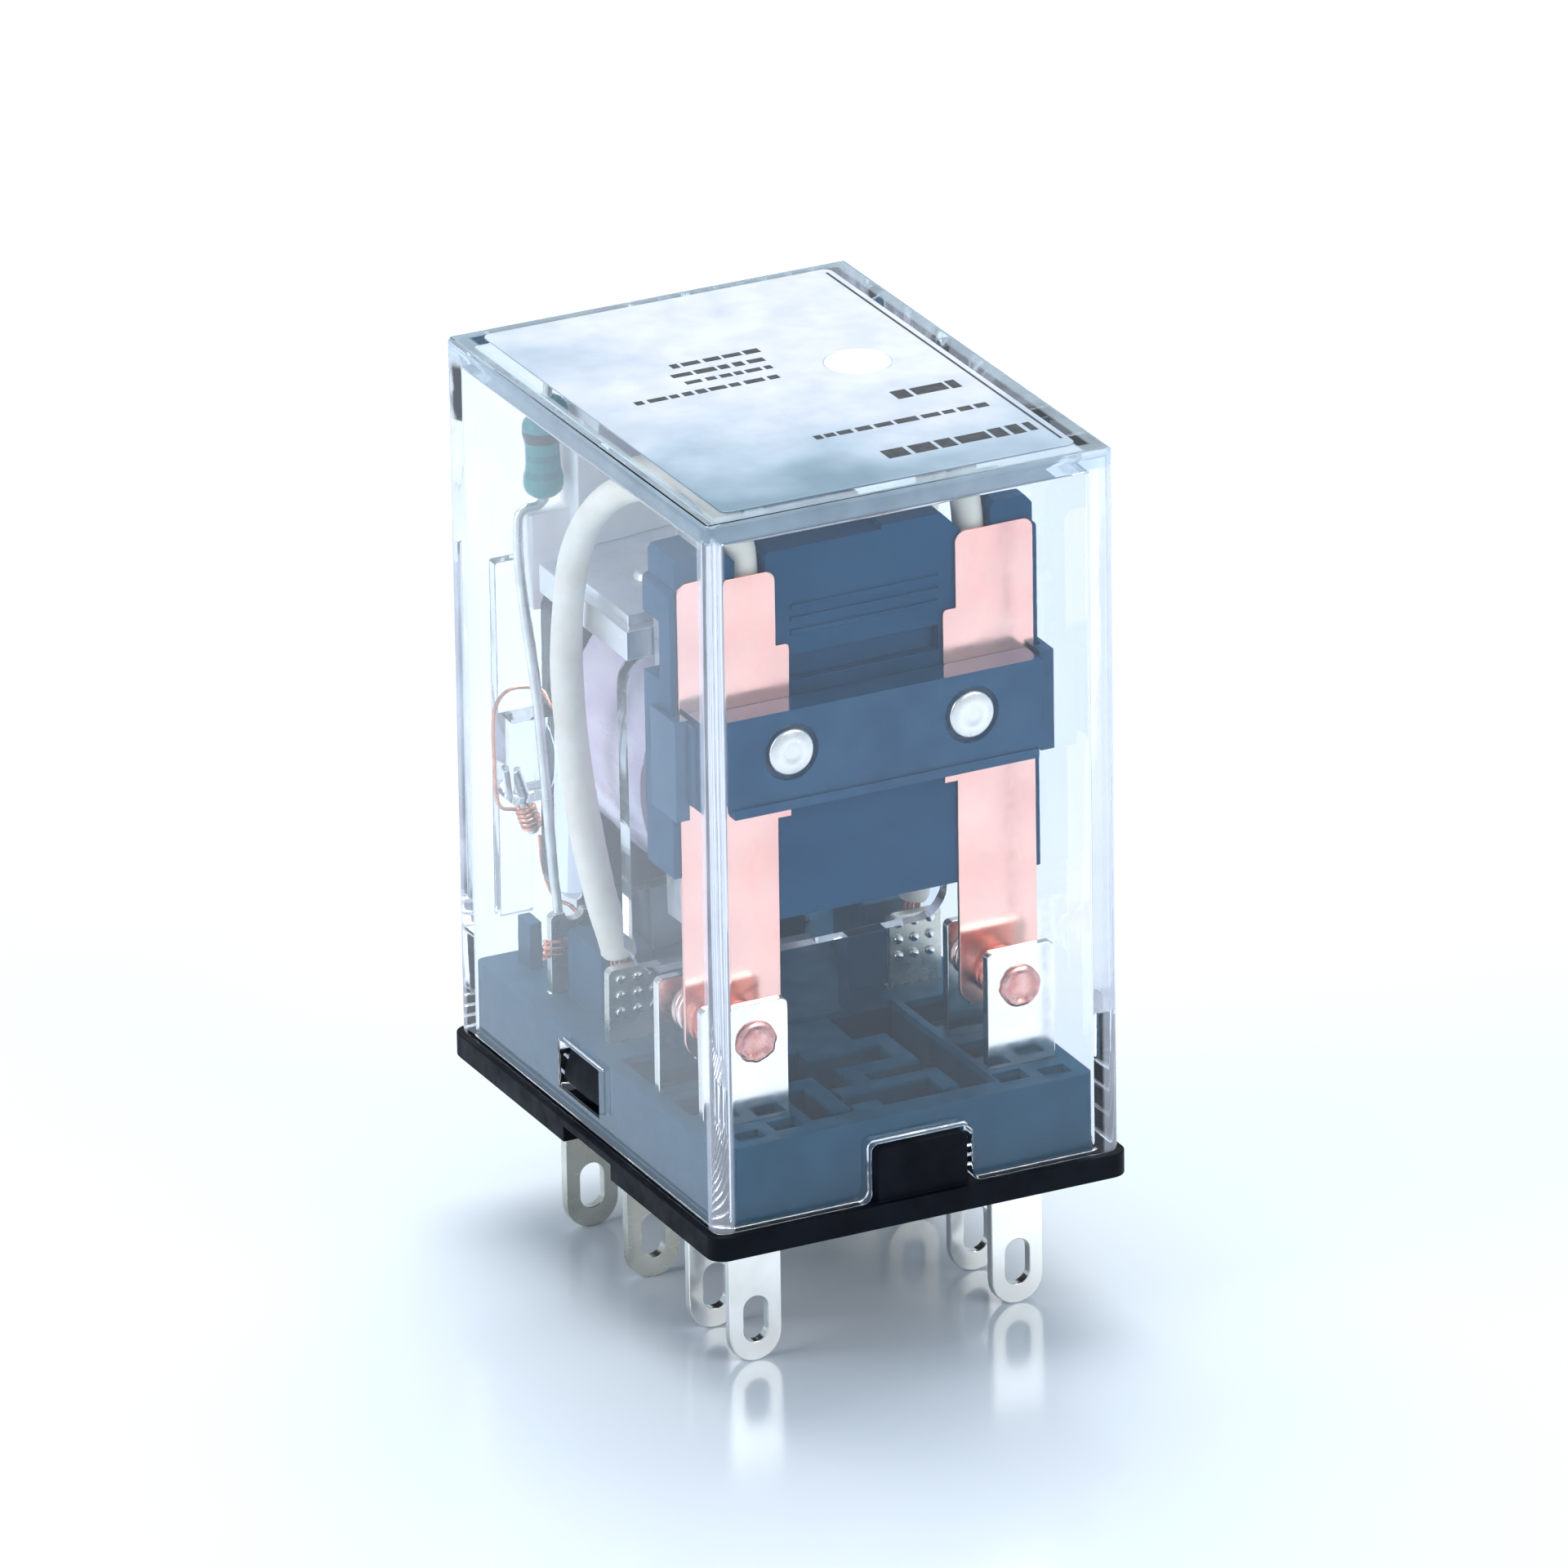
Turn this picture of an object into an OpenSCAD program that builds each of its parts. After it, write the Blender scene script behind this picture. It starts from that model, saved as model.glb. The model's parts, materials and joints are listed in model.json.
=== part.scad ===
// Miniature two-pole plug-in relay with a clear cover, eight blade terminals,
// a clapper armature over a horizontal coil and a lamp that shows through the label.
// Millimetres. Z is up, the seating face of the base is z = 0, X is the short side.
// The contact end is at -Y and the coil-terminal end at +Y.

/* [Housing] */
// Length of the base rim along Y
rim_l = 27.2; // [27:0.1:28]
// Width of the base rim along X
rim_w = 20.9; // [20.7:0.1:21.5]
// Thickness of the base rim
rim_h = 1.15; // [0.9:0.05:1.2]
// Height of the cover's top above the seating face
body_h = 35.2; // [35:0.1:36]
// Wall thickness of the clear cover
wall_t = 1.0; // [0.8:0.05:1.1]
// Thickness of the cover's top
roof_t = 1.2; // [0.8:0.05:1.2]
// Thickness of the label film
label_t = 0.1; // [0.05:0.01:0.2]

/* [Terminals] */
// How far the blades stand below the seating face
blade_len = 7.0; // [5.5:0.1:8]
// Width of a blade
blade_w = 2.6; // [2.2:0.1:2.8]
// Thickness of a blade
blade_t = 0.5; // [0.4:0.05:0.6]
// Distance of each blade row from the centre plane
blade_x = 6.6; // [6.5:0.05:6.7]

/* [Armature] */
// Angle that the armature turns through as the coil pulls it in
pull_in = 3.3; // [2.5:0.1:3.4]
// Height of the armature's pivot above the seating face
pivot_z = 25.0; // [24.8:0.1:25.2]
// Diameter of the contact heads
contact_d = 2.4; // [2:0.1:2.6]

/* [Coil] */
// Outer diameter of the wound coil with its tape
coil_d = 13.3; // [12:0.1:13.4]
// Height of the coil's axis above the seating face
coil_z = 17.2; // [17:0.1:17.3]

/* [Hidden] */
$fn = 48;
gap = 0.05;                     // running and assembly clearance
round_fn = 32;

// Cover and base block
cover_w = rim_w - 0.6;
cover_l = rim_l - 0.6;
cavity_w = cover_w - 2 * wall_t;
cavity_l = cover_l - 2 * wall_t;
cavity_top = body_h - roof_t;
block_w = cavity_w - 2 * gap;
block_l = cavity_l - 2 * gap;
base_top = 4.95;
tab_x = [-2.1, 2.4];            // tongue of the base that fills the cover's end notch
tab_top = 3.7;
window_y = [-1.25, 2.8];        // side windows of the cover
window_z = [2.4, 4.6];
lug_z = [2.7, 4.45];
label_hole = [4.65, 1.2];       // where the lamp shows through the label
label_hole_r = 1.55;

// Terminal rows, given as the middle of each plate along Y
nc_y = -9.6;
no_y = -5.5;
common_y = 0.85;
coil_y = 7.2;
plate_top = 10.6;
contact_z = 8.8;
contact_h = 0.6;
contact_r = contact_d / 2;
contact_shank_r = 0.55;

// Armature group at rest: the springs hang vertical, the iron leans off the pole
pivot_y = -1.3;
spring_t = 0.2;
spring_front = -8.15;
spring_back = spring_front + spring_t;
bar_front = -9.6;
bar_z = [19.9, 24.25];
rivet_x = 4.5;
rivet_z = 22.25;
rivet_shank_r = 0.5;
card_back = -5.2;
card_z = [13.5, 31.4];
card_half = 8.7;
card_top = 30.1;                // top edge of the card between its knobs
crest_low = 31.2;
lead_slot_x = [4.9, 6.4];       // slots in the card's top that the flexible leads leave by
lead_slot_z = 28.4;
tongue_half = 2.1;              // half width of the armature's tongue
tongue_z = [30.15, 30.75];      // its folded end, which hooks into the card
iron_front = -2.75;             // faces of the armature iron when it is pulled in
iron_back = -1.25;

// Magnet
pole_face = -1.15;
yoke_z = [24.1, 25.5];
yoke_back = 11.0;
yoke_leg_front = 9.6;
yoke_half = 7.6;
leg_half = 5.4;
flange_z = [8.6, 24.05];
front_flange_y = [-0.9, 0.1];
rear_flange_y = [8.3, 9.6];
core_r = 2.6;
pole_r = 3.9;
spigot_r = 1.8;                 // end of the core, riveted through the yoke
spigot_head_h = 0.5;
ring_depth = 0.7;               // depth of the shading ring's groove
ring_size = [5.2, 2.4];
ring_bar = 0.6;
tube_r = 3.3;
tape_t = 0.25;
anchor_top = 26.0;
anchor_rivet_pos = [4.2, 3.0];
anchor_rivet_r = 0.5;
hook_z = 28.0;                  // height of the hole that holds the spring's rear hook

// Indicator parts
deck_z = [31.0, 31.7];
lamp_r = 1.45;
resistor_pos = [-6.45, 10.0, 27.9];
resistor_r = 0.95;
resistor_l = 4.0;
fine_r = 0.22;                  // radius of the resistor's and lamp's leads
wire_r = 0.12;                  // radius of the winding's end wires
lead_r = 0.7;                   // radius of the sleeved flexible leads
pin_r = 0.3;
pin_foot = [7.1, 10.2, 11.6];
pin_lean = 18;
pin_l = 3.5;

// Route of the right-hand flexible lead, from the contact spring to the common tab
lead_route = [
    [5.65, -7.15, 29.2], [5.65, -7.1, 30.6], [5.7, -6.6, 31.9], [6.1, -5.5, 32.8],
    [6.8, -3.8, 33.2], [7.6, -1.6, 32.6], [8.2, 0.5, 30.9], [8.4, 2.2, 28.4],
    [8.4, 3.2, 25.4], [8.4, 3.5, 22.0], [8.3, 3.2, 18.4], [8.1, 2.5, 14.6],
    [7.7, 1.9, 11.4], [7.1, 1.85, 9.2], [6.9, 1.85, 7.4]
];
// Route of the resistor's lower lead, down to the left coil terminal
resistor_lower_route = [
    [-6.45, 10.0, 27.9], [-6.45, 10.0, 27.75], [-6.8, 10.0, 27.48], [-7.45, 10.0, 27.42],
    [-7.78, 9.95, 26.8],
    [-7.8, 9.7, 24.0], [-7.6, 8.7, 19.0], [-7.4, 8.2, 14.4], [-7.2, 7.95, 10.6],
    [-7.1, 7.72, 8.6], [-7.1, 7.7, 6.6]
];
// Route of the resistor's upper lead, over the holder to the lamp
resistor_upper_route = [
    [-6.45, 10.0, 31.9], [-6.45, 10.0, 32.1], [-6.4, 10.0, 32.6], [-6.1, 9.8, 33.0],
    [-4.5, 9.0, 33.2], [-1.0, 6.6, 32.7], [1.6, 3.8, 32.3], [2.4, 2.3, 32.05], [2.85, 1.3, 31.95]
];
// Route of the lamp's other lead, down to the right coil terminal
lamp_lead_route = [
    [6.4, 1.2, 31.95], [6.4, 2.4, 32.0], [6.35, 5.0, 32.1], [6.8, 8.0, 32.2], [7.4, 9.6, 31.4],
    [7.75, 9.9, 29.0], [7.8, 9.7, 24.0], [7.6, 8.7, 19.0], [7.4, 8.2, 14.4],
    [7.2, 7.95, 10.6], [7.1, 7.72, 8.6], [7.1, 7.7, 6.6]
];
// Route of the winding's end wire on the right: coil to pin, then pin to terminal
wire_upper_route = [
    [6.9, 7.2, 18.0], [7.18, 8.1, 18.45], [7.18, 9.3, 18.9], [8.2, 10.1, 18.8],
    [8.8, 10.3, 17.8], [8.85, 10.3, 15.4], [8.75, 10.2, 13.3], [8.0, 10.2, 12.85]
];
wire_lower_route = [
    [7.0, 9.76, 11.5], [6.9, 9.8, 10.2], [6.6, 9.75, 8.9], [6.3, 9.4, 8.35],
    [6.1, 8.6, 8.3], [6.05, 7.6, 8.0]
];

// Insulating ribs that stand between the contact pockets, as [x0, y0, x1, y1]
pocket_ribs = [
    [-4.3, -3.4, 1.4, -0.6], [-1.4, -4.5, 3.1, -3.4], [2.2, -6.2, 3.1, -4.4],
    [-0.8, -6.9, 3.1, -6.0], [-0.8, -8.0, 0.1, -6.2], [-1.9, -8.8, 3.4, -7.9],
    [2.5, -10.2, 3.4, -8.6], [-3.0, -10.2, -2.1, -6.4], [-4.4, -7.2, -2.1, -6.3]
];
rib_top = 4.75;
pocket_floor = 3.1;

// ---------------------------------------------------------------- shared shapes

// Rectangle of size [w, l] about the origin with corners of radius r
module round_rect(w, l, r) {
    square([w - 2 * r, l], center = true);
    square([w, l - 2 * r], center = true);
    for (sx = [-1, 1], sy = [-1, 1])
        translate([sx * (w / 2 - r), sy * (l / 2 - r)]) circle(r, $fn = round_fn);
}

// Box from corner a to corner b
module span_box(a, b) {
    translate(a) cube(b - a);
}

// Sheet whose outline is given in X and Z, from y0 to y1
module sheet_y(y0, y1) {
    translate([0, y1, 0]) rotate([90, 0, 0]) linear_extrude(y1 - y0) children();
}

// Sheet whose outline is given in Y and Z, from x0 to x1
module sheet_x(x0, x1) {
    translate([x0, 0, 0]) rotate([90, 0, 90]) linear_extrude(x1 - x0) children();
}

// Cylinder along Y from y0 to y1
module rod_y(x, z, r, y0, y1) {
    translate([x, y1, z]) rotate([90, 0, 0]) cylinder(h = y1 - y0, r = r);
}

// Cone along Y whose radius goes from r0 at y0 to r1 at y1
module cone_y(x, z, r0, r1, y0, y1) {
    translate([x, y0, z]) rotate([-90, 0, 0]) cylinder(h = y1 - y0, r1 = r0, r2 = r1);
}

// Outline of a plate with its upper two corners rounded
module tab_outline(x0, x1, z0, z1, r) {
    translate([x0, z0]) square([x1 - x0, z1 - z0 - r]);
    translate([x0 + r, z0]) square([x1 - x0 - 2 * r, z1 - z0]);
    for (x = [x0 + r, x1 - r]) translate([x, z1 - r]) circle(r, $fn = round_fn);
}

// The armature group's iron leans back from its pulled-in place by the travel
module at_rest() {
    translate([0, pivot_y, pivot_z]) rotate([-pull_in, 0, 0])
        translate([0, -pivot_y, -pivot_z]) children();
}

module mirrored_pair() {
    children();
    mirror([1, 0, 0]) children();
}

function unit(v) = v / norm(v);
function flip_x(route) = [for (p = route) [-p[0], p[1], p[2]]];
function heading(route, i) =
    unit(route[min(i + 1, len(route) - 1)] - route[max(i - 1, 0)]);
function ring(route, i, r, sides, side_dir) =
    let (t = heading(route, i), u = unit(cross(side_dir, t)), v = cross(t, u))
    [for (k = [0:sides - 1]) route[i] + r * (cos(360 * k / sides) * u + sin(360 * k / sides) * v)];

// Round wire swept along a route; side_dir is a direction the route never points along
module wire(route, r, sides = 8, side_dir = [1, 0, 0]) {
    n = len(route);
    points = [for (i = [0:n - 1]) each ring(route, i, r, sides, side_dir)];
    walls = [for (i = [0:n - 2], k = [0:sides - 1])
        let (a = i * sides + k, b = i * sides + (k + 1) % sides)
        each [[a, a + sides, b + sides], [a, b + sides, b]]];
    ends = [[for (k = [0:sides - 1]) k], [for (k = [sides - 1:-1:0]) (n - 1) * sides + k]];
    polyhedron(points, concat(walls, ends), convexity = 10);
}

// ---------------------------------------------------------------- housing

module blade_slot(y, side) {
    translate([side * blade_x - blade_w / 2, y - blade_t / 2, -1]) cube([blade_w, blade_t, base_top + 2]);
}

module lug() {
    sheet_y(window_y[0] + 0.2, window_y[1] - 0.15)
        polygon([[block_w / 2 - 0.5, lug_z[0]], [block_w / 2 + 0.85, lug_z[0]],
                 [block_w / 2 + 0.85, lug_z[0] + 0.4], [block_w / 2 + 0.35, lug_z[1]],
                 [block_w / 2 - 0.5, lug_z[1]]]);
}

module base() {
    tab_outer = cover_l / 2;
    color([0.16, 0.2, 0.25]) difference() {
        union() {
            linear_extrude(rim_h) round_rect(rim_w, rim_l, 0.8);
            linear_extrude(base_top) round_rect(block_w, block_l, 0.4);
            for (s = [-1, 1]) mirror([0, s > 0 ? 1 : 0, 0])
                sheet_y(-tab_outer, -block_l / 2 + 1)
                    tab_outline(tab_x[0], tab_x[1], 0.5, tab_top, 0.25);
            mirrored_pair() lug();
            // posts beside the coil, and ledges that carry the coil former
            mirrored_pair() {
                span_box([5.0, 2.9, 4], [7.3, 6.3, 8.3]);
                span_box([6.9, 9.9, 4], [7.5, 11.2, 7.2]);
                span_box([2.4, -1.0, 4], [4.5, 0.2, flange_z[0]]);
                span_box([2.4, 8.35, 4], [4.5, 9.5, flange_z[0]]);
            }
        }
        // contact pocket in the middle, with its ribs left standing
        difference() {
            span_box([-4.4, -11.0, pocket_floor], [4.8, -0.6, base_top + 1]);
            for (r = pocket_ribs) span_box([r[0], r[1], 2], [r[2], r[3], rib_top]);
            span_box([-2.0, -11.2, 2], [-0.6, -9.9, rib_top]);
        }
        mirrored_pair() {
            span_box([4.95, -11.3, 3.6], [6.35, -10.25, base_top + 1]);
            span_box([7.0, -11.6, 4.6], [8.3, -10.7, base_top + 1]);
            span_box([5.1, -8.3, 3.6], [8.3, -6.6, base_top + 1]);
            span_box([5.2, -4.4, 3.6], [8.3, -1.2, base_top + 1]);
            // shallow relief under each side of the rim
            span_box([rim_w / 2 - 0.9, -3.0, -1], [rim_w / 2 + 1, 1.8, 0.75]);
        }
        for (side = [-1, 1], y = [nc_y, no_y, common_y, coil_y]) blade_slot(y, side);
    }
}

module cover_outer() {
    edge_r = 0.4;
    intersection() {
        linear_extrude(body_h) round_rect(cover_w, cover_l, 0.6);
        sheet_y(-cover_l, cover_l) tab_outline(-cover_w / 2, cover_w / 2, rim_h, body_h, edge_r);
        sheet_x(-cover_w, cover_w) tab_outline(-cover_l / 2, cover_l / 2, rim_h, body_h, edge_r);
    }
}

// End notch of the cover: clears the base tongue and flares at its foot
module end_notch() {
    flare_r = 0.5;
    side = 0.25;
    x0 = tab_x[0] - side;
    x1 = tab_x[1] + side;
    sheet_y(-cover_l, cover_l) difference() {
        union() {
            tab_outline(x0, x1, rim_h - 1, tab_top + side, 0.3);
            translate([x0 - flare_r, rim_h - 1]) square([x1 - x0 + 2 * flare_r, 1 + flare_r]);
        }
        for (x = [x0 - flare_r, x1 + flare_r]) translate([x, rim_h + flare_r]) circle(flare_r);
    }
}

module cover() {
    color([0.85, 0.92, 0.98, 0.3]) difference() {
        union() {
            difference() {
                cover_outer();
                translate([0, 0, rim_h - 1])
                    linear_extrude(cavity_top - rim_h + 1) round_rect(cavity_w, cavity_l, 0.25);
            }
            // two upright ribs inside the rear wall
            mirrored_pair() span_box([6.5, cavity_l / 2 - 0.7, 7.0], [8.1, cavity_l / 2 + 0.2, 24.4]);
        }
        end_notch();
        sheet_x(-cover_w, cover_w) translate([window_y[0], window_z[0]])
            square([window_y[1] - window_y[0], window_z[1] - window_z[0]]);
    }
}

module label() {
    label_w = cover_w - 2.8;
    label_l = cover_l - 2.1;
    color([0.86, 0.89, 0.92]) translate([0, 0, body_h]) linear_extrude(label_t) difference() {
        round_rect(label_w, label_l, 0.4);
        translate(label_hole) circle(label_hole_r);
    }
}

// ---------------------------------------------------------------- terminals

module blade_outline() {
    tip_r = blade_w / 2;
    slot_r = 0.6;
    slot_half = 0.5;
    slot_z = -blade_len + 2.05;
    difference() {
        union() {
            translate([-tip_r, -blade_len + tip_r]) square([blade_w, base_top + blade_len - tip_r]);
            translate([0, -blade_len + tip_r]) circle(tip_r);
        }
        translate([-slot_r, slot_z - slot_half]) square([2 * slot_r, 2 * slot_half]);
        for (s = [-1, 1]) translate([0, slot_z + s * slot_half]) circle(slot_r);
    }
}

// Right-hand terminal: a blade below the base and a wider plate on top of it
module terminal(y, x0, x1, top) {
    sheet_y(y - blade_t / 2, y + blade_t / 2) {
        translate([blade_x, 0]) blade_outline();
        tab_outline(x0, x1, base_top, top, 0.3);
    }
}

module contact_terminal(y, x0, x1) {
    color([0.86, 0.87, 0.88]) difference() {
        terminal(y, x0, x1, plate_top);
        rod_y(blade_x, contact_z, contact_shank_r, y - 1, y + 1);
    }
}

module nc_terminal_right() {
    contact_terminal(nc_y, 5.0, 8.4);
}

module nc_terminal_left() {
    mirror([1, 0, 0]) nc_terminal_right();
}

module no_terminal_right() {
    contact_terminal(no_y, 5.1, 8.6);
}

module no_terminal_left() {
    mirror([1, 0, 0]) no_terminal_right();
}

module common_terminal_right() {
    dot_r = 0.17;
    dot_pitch = 0.8;
    dot_front = common_y - blade_t / 2 - 0.08;
    color([0.75, 0.78, 0.8]) {
        terminal(common_y, 5.4, 8.0, 8.5);
        for (i = [-1:1], k = [-1:1])
            rod_y(6.7 + i * dot_pitch, 7.2 + k * dot_pitch, dot_r, dot_front, common_y);
    }
}

module common_terminal_left() {
    mirror([1, 0, 0]) common_terminal_right();
}

module coil_terminal_right() {
    color([0.75, 0.78, 0.8]) difference() {
        terminal(coil_y, 5.6, 7.8, 8.8);
        translate([6.7, coil_y, 8.8]) rotate([90, 0, 0]) cylinder(h = 2, r = 0.4, center = true);
    }
}

module coil_terminal_left() {
    mirror([1, 0, 0]) coil_terminal_right();
}

// Contact rivet on a plate from y0 to y1: the head is at y1 side when dir is 1
module contact_rivet(y0, y1, dir) {
    head_y = dir > 0 ? y1 : y0;
    tail_y = dir > 0 ? y0 : y1;
    body_h1 = contact_h * 0.6;
    rod_y(blade_x, contact_z, contact_shank_r, y0, y1);
    translate([blade_x, head_y, contact_z]) rotate([-90 * dir, 0, 0]) {
        cylinder(h = body_h1, r = contact_r);
        translate([0, 0, body_h1]) cylinder(h = contact_h - body_h1, r1 = contact_r, r2 = 0.7);
    }
    translate([blade_x, tail_y, contact_z]) rotate([90 * dir, 0, 0])
        cylinder(h = 0.15, r1 = 0.93, r2 = 0.8);
}

module nc_contacts() {
    color([0.85, 0.62, 0.6]) mirrored_pair() contact_rivet(nc_y - blade_t / 2, nc_y + blade_t / 2, 1);
}

module no_contacts() {
    color([0.85, 0.62, 0.6]) mirrored_pair() contact_rivet(no_y - blade_t / 2, no_y + blade_t / 2, -1);
}

// ---------------------------------------------------------------- magnet

module at_anchor_rivet(z) {
    translate([anchor_rivet_pos[0], anchor_rivet_pos[1], z]) children();
}

module yoke() {
    color([0.8, 0.82, 0.84]) difference() {
        union() {
            span_box([-yoke_half, pole_face, yoke_z[0]], [yoke_half, 8.2, yoke_z[1]]);
            span_box([-leg_half, 8.0, yoke_z[0]], [leg_half, yoke_back, yoke_z[1]]);
            span_box([-leg_half, yoke_leg_front, base_top], [leg_half, yoke_back, yoke_z[1]]);
        }
        rod_y(0, coil_z, spigot_r + gap / 2, yoke_leg_front - 1, yoke_back + 1);
        mirrored_pair() at_anchor_rivet(yoke_z[0] - 1) cylinder(h = 4, r = anchor_rivet_r);
    }
}

// Outline of the copper ring that sits in the pole face
module ring_outline() {
    translate([-ring_size[0] / 2, 0.2]) difference() {
        square(ring_size);
        translate([ring_bar, ring_bar]) square(ring_size - 2 * [ring_bar, ring_bar]);
    }
}

module core() {
    color([0.7, 0.72, 0.74]) difference() {
        union() {
            rod_y(0, coil_z, pole_r, pole_face, pole_face + 1);
            rod_y(0, coil_z, core_r, pole_face + 0.5, yoke_leg_front - gap);
            rod_y(0, coil_z, spigot_r, yoke_leg_front - 1, yoke_back + 0.05);
            cone_y(0, coil_z, 2.6, 2.1, yoke_back, yoke_back + spigot_head_h);
        }
        translate([0, 0, coil_z]) sheet_y(pole_face - 1, pole_face + ring_depth) ring_outline();
    }
}

module shading_ring() {
    color([0.8, 0.5, 0.36]) translate([0, 0, coil_z])
        sheet_y(pole_face, pole_face + ring_depth) ring_outline();
}

module at_pin() {
    translate(pin_foot) rotate([0, pin_lean, 0]) children();
}

module bobbin() {
    flange_mid = (flange_z[0] + flange_z[1]) / 2;
    flange_height = flange_z[1] - flange_z[0];
    color([0.9, 0.93, 0.95]) difference() {
        union() {
            sheet_y(front_flange_y[0], front_flange_y[1])
                translate([0, flange_mid]) round_rect(15.1, flange_height, 1.5);
            sheet_y(rear_flange_y[0], rear_flange_y[1])
                translate([0, flange_mid]) round_rect(14.0, flange_height, 1.5);
            rod_y(0, coil_z, tube_r, front_flange_y[1] - 0.5, rear_flange_y[0] + 0.5);
            // ears that hold the winding pins
            mirrored_pair() {
                span_box([6.5, 9.0, 13.6], [8.55, 9.6, 17.6]);
                sheet_x(6.9, 8.55) {
                    translate([9.0, 13.6]) square([1.1, 4.0]);
                    translate([10.1, 15.6]) circle(2.0);
                }
            }
        }
        rod_y(0, coil_z, core_r + gap, front_flange_y[0] - 1, rear_flange_y[1] + 1);
        rod_y(0, coil_z, pole_r + gap, front_flange_y[0] - 1, pole_face + 1);
        mirrored_pair() at_pin() cylinder(h = pin_l + gap, r = pin_r + gap / 2);
        // the ears are cut back for the leads in front and the wall behind
        mirrored_pair() {
            span_box([7.05, 7.5, 10], [9, 9.0, 20]);
            span_box([6, 11.2, 10], [9, 13, 20]);
        }
    }
}

module coil_winding() {
    color([0.78, 0.42, 0.28]) difference() {
        rod_y(0, coil_z, coil_d / 2 - tape_t - gap, front_flange_y[1] + gap, rear_flange_y[0] - gap);
        rod_y(0, coil_z, tube_r + gap, -5, 15);
    }
}

module coil_tape() {
    color([0.93, 0.88, 0.95]) difference() {
        rod_y(0, coil_z, coil_d / 2, front_flange_y[1] + gap, rear_flange_y[0] - gap);
        rod_y(0, coil_z, coil_d / 2 - tape_t, -5, 15);
    }
}

module winding_pins() {
    color([0.82, 0.84, 0.86]) mirrored_pair() at_pin() cylinder(h = pin_l, r = pin_r, $fn = round_fn);
}

module winding_end_wires() {
    color([0.8, 0.4, 0.26]) for (flip = [false, true]) {
        wire(flip ? flip_x(wire_upper_route) : wire_upper_route, wire_r, 6, [0.3, 0.3, 1]);
        wire(flip ? flip_x(wire_lower_route) : wire_lower_route, wire_r, 6);
    }
}

module spring_anchor_plate() {
    color([0.72, 0.75, 0.77]) difference() {
        union() {
            span_box([-7.2, -0.55, yoke_z[1]], [7.2, 6.6, anchor_top]);
            span_box([-0.9, 6.2, yoke_z[1]], [0.9, 6.6, hook_z + 0.8]);
        }
        rod_y(0, hook_z, 0.4, 5, 8);
        mirrored_pair() at_anchor_rivet(yoke_z[0]) cylinder(h = 4, r = anchor_rivet_r);
    }
}

module anchor_rivets() {
    color([0.8, 0.82, 0.84]) mirrored_pair() at_anchor_rivet(yoke_z[0]) {
        cylinder(h = anchor_top - yoke_z[0], r = anchor_rivet_r);
        translate([0, 0, anchor_top - yoke_z[0]]) cylinder(h = 0.35, r1 = 0.9, r2 = 0.65);
    }
}

// Tension spring from the armature's tongue down to the anchor plate's lug
module return_spring() {
    turns = 9;
    steps = 10;
    coil_r = 0.85;
    front = [0, -0.2, 29.9];
    back = [0, 5.6, hook_z + 0.1];
    axis = unit(back - front);
    up = [0, -axis[2], axis[1]];
    route = concat(
        [[0, -1.6, 30.0], [0, -1.0, 30.1], front + 0.2 * coil_r * up],
        [for (i = [0:turns * steps])
            front + (back - front) * i / (turns * steps)
                + coil_r * (sin(360 * i / steps) * [1, 0, 0] + cos(360 * i / steps) * up)],
        [[0, 5.9, hook_z + 0.15], [0, 6.25, hook_z + 0.05], [0, 6.5, hook_z]]);
    color([0.6, 0.63, 0.66]) wire(route, 0.16, 6, [0.5, 1, 0.15]);
}

// ---------------------------------------------------------------- armature group

module armature_outline() {
    tab_outline(-6.2, 6.2, 11.9, 28.6, 0.6);
    tab_outline(-tongue_half, tongue_half, 20, tongue_z[1], 0.3);
}

module armature_plate() {
    color([0.78, 0.8, 0.82]) at_rest() difference() {
        union() {
            sheet_y(iron_front, iron_back) armature_outline();
            span_box([-tongue_half, -5.1, tongue_z[0]], [tongue_half, iron_front + 0.2, tongue_z[1]]);
        }
        rod_y(0, 29.8, 0.45, -6, 2);
    }
}

module card_outline() {
    difference() {
        union() {
            tab_outline(-card_half, card_half, card_z[0], card_top, 0.3);
            // middle crest, a little higher on the right, and a knob behind each spring's outer corner
            polygon([[-lead_slot_x[0], 28], [-lead_slot_x[0], crest_low - 0.2], [-4.7, crest_low],
                     [0.9, crest_low], [0.95, card_z[1]], [3.9, card_z[1]],
                     [lead_slot_x[0], card_z[1] - 1.0], [lead_slot_x[0], 28]]);
            for (s = [-1, 1]) translate([s * 7.4, 0])
                polygon([[-1.0, 28], [-1.0, 31.2], [-0.8, 31.45], [0.7, 31.45], [1.1, 31.0], [1.1, 28]]);
        }
        // the flexible leads leave through these slots
        mirrored_pair() translate([lead_slot_x[0], lead_slot_z])
            square([lead_slot_x[1] - lead_slot_x[0], 5]);
        translate([-9, 13]) square([3.0, 3.3]);
    }
}

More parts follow.
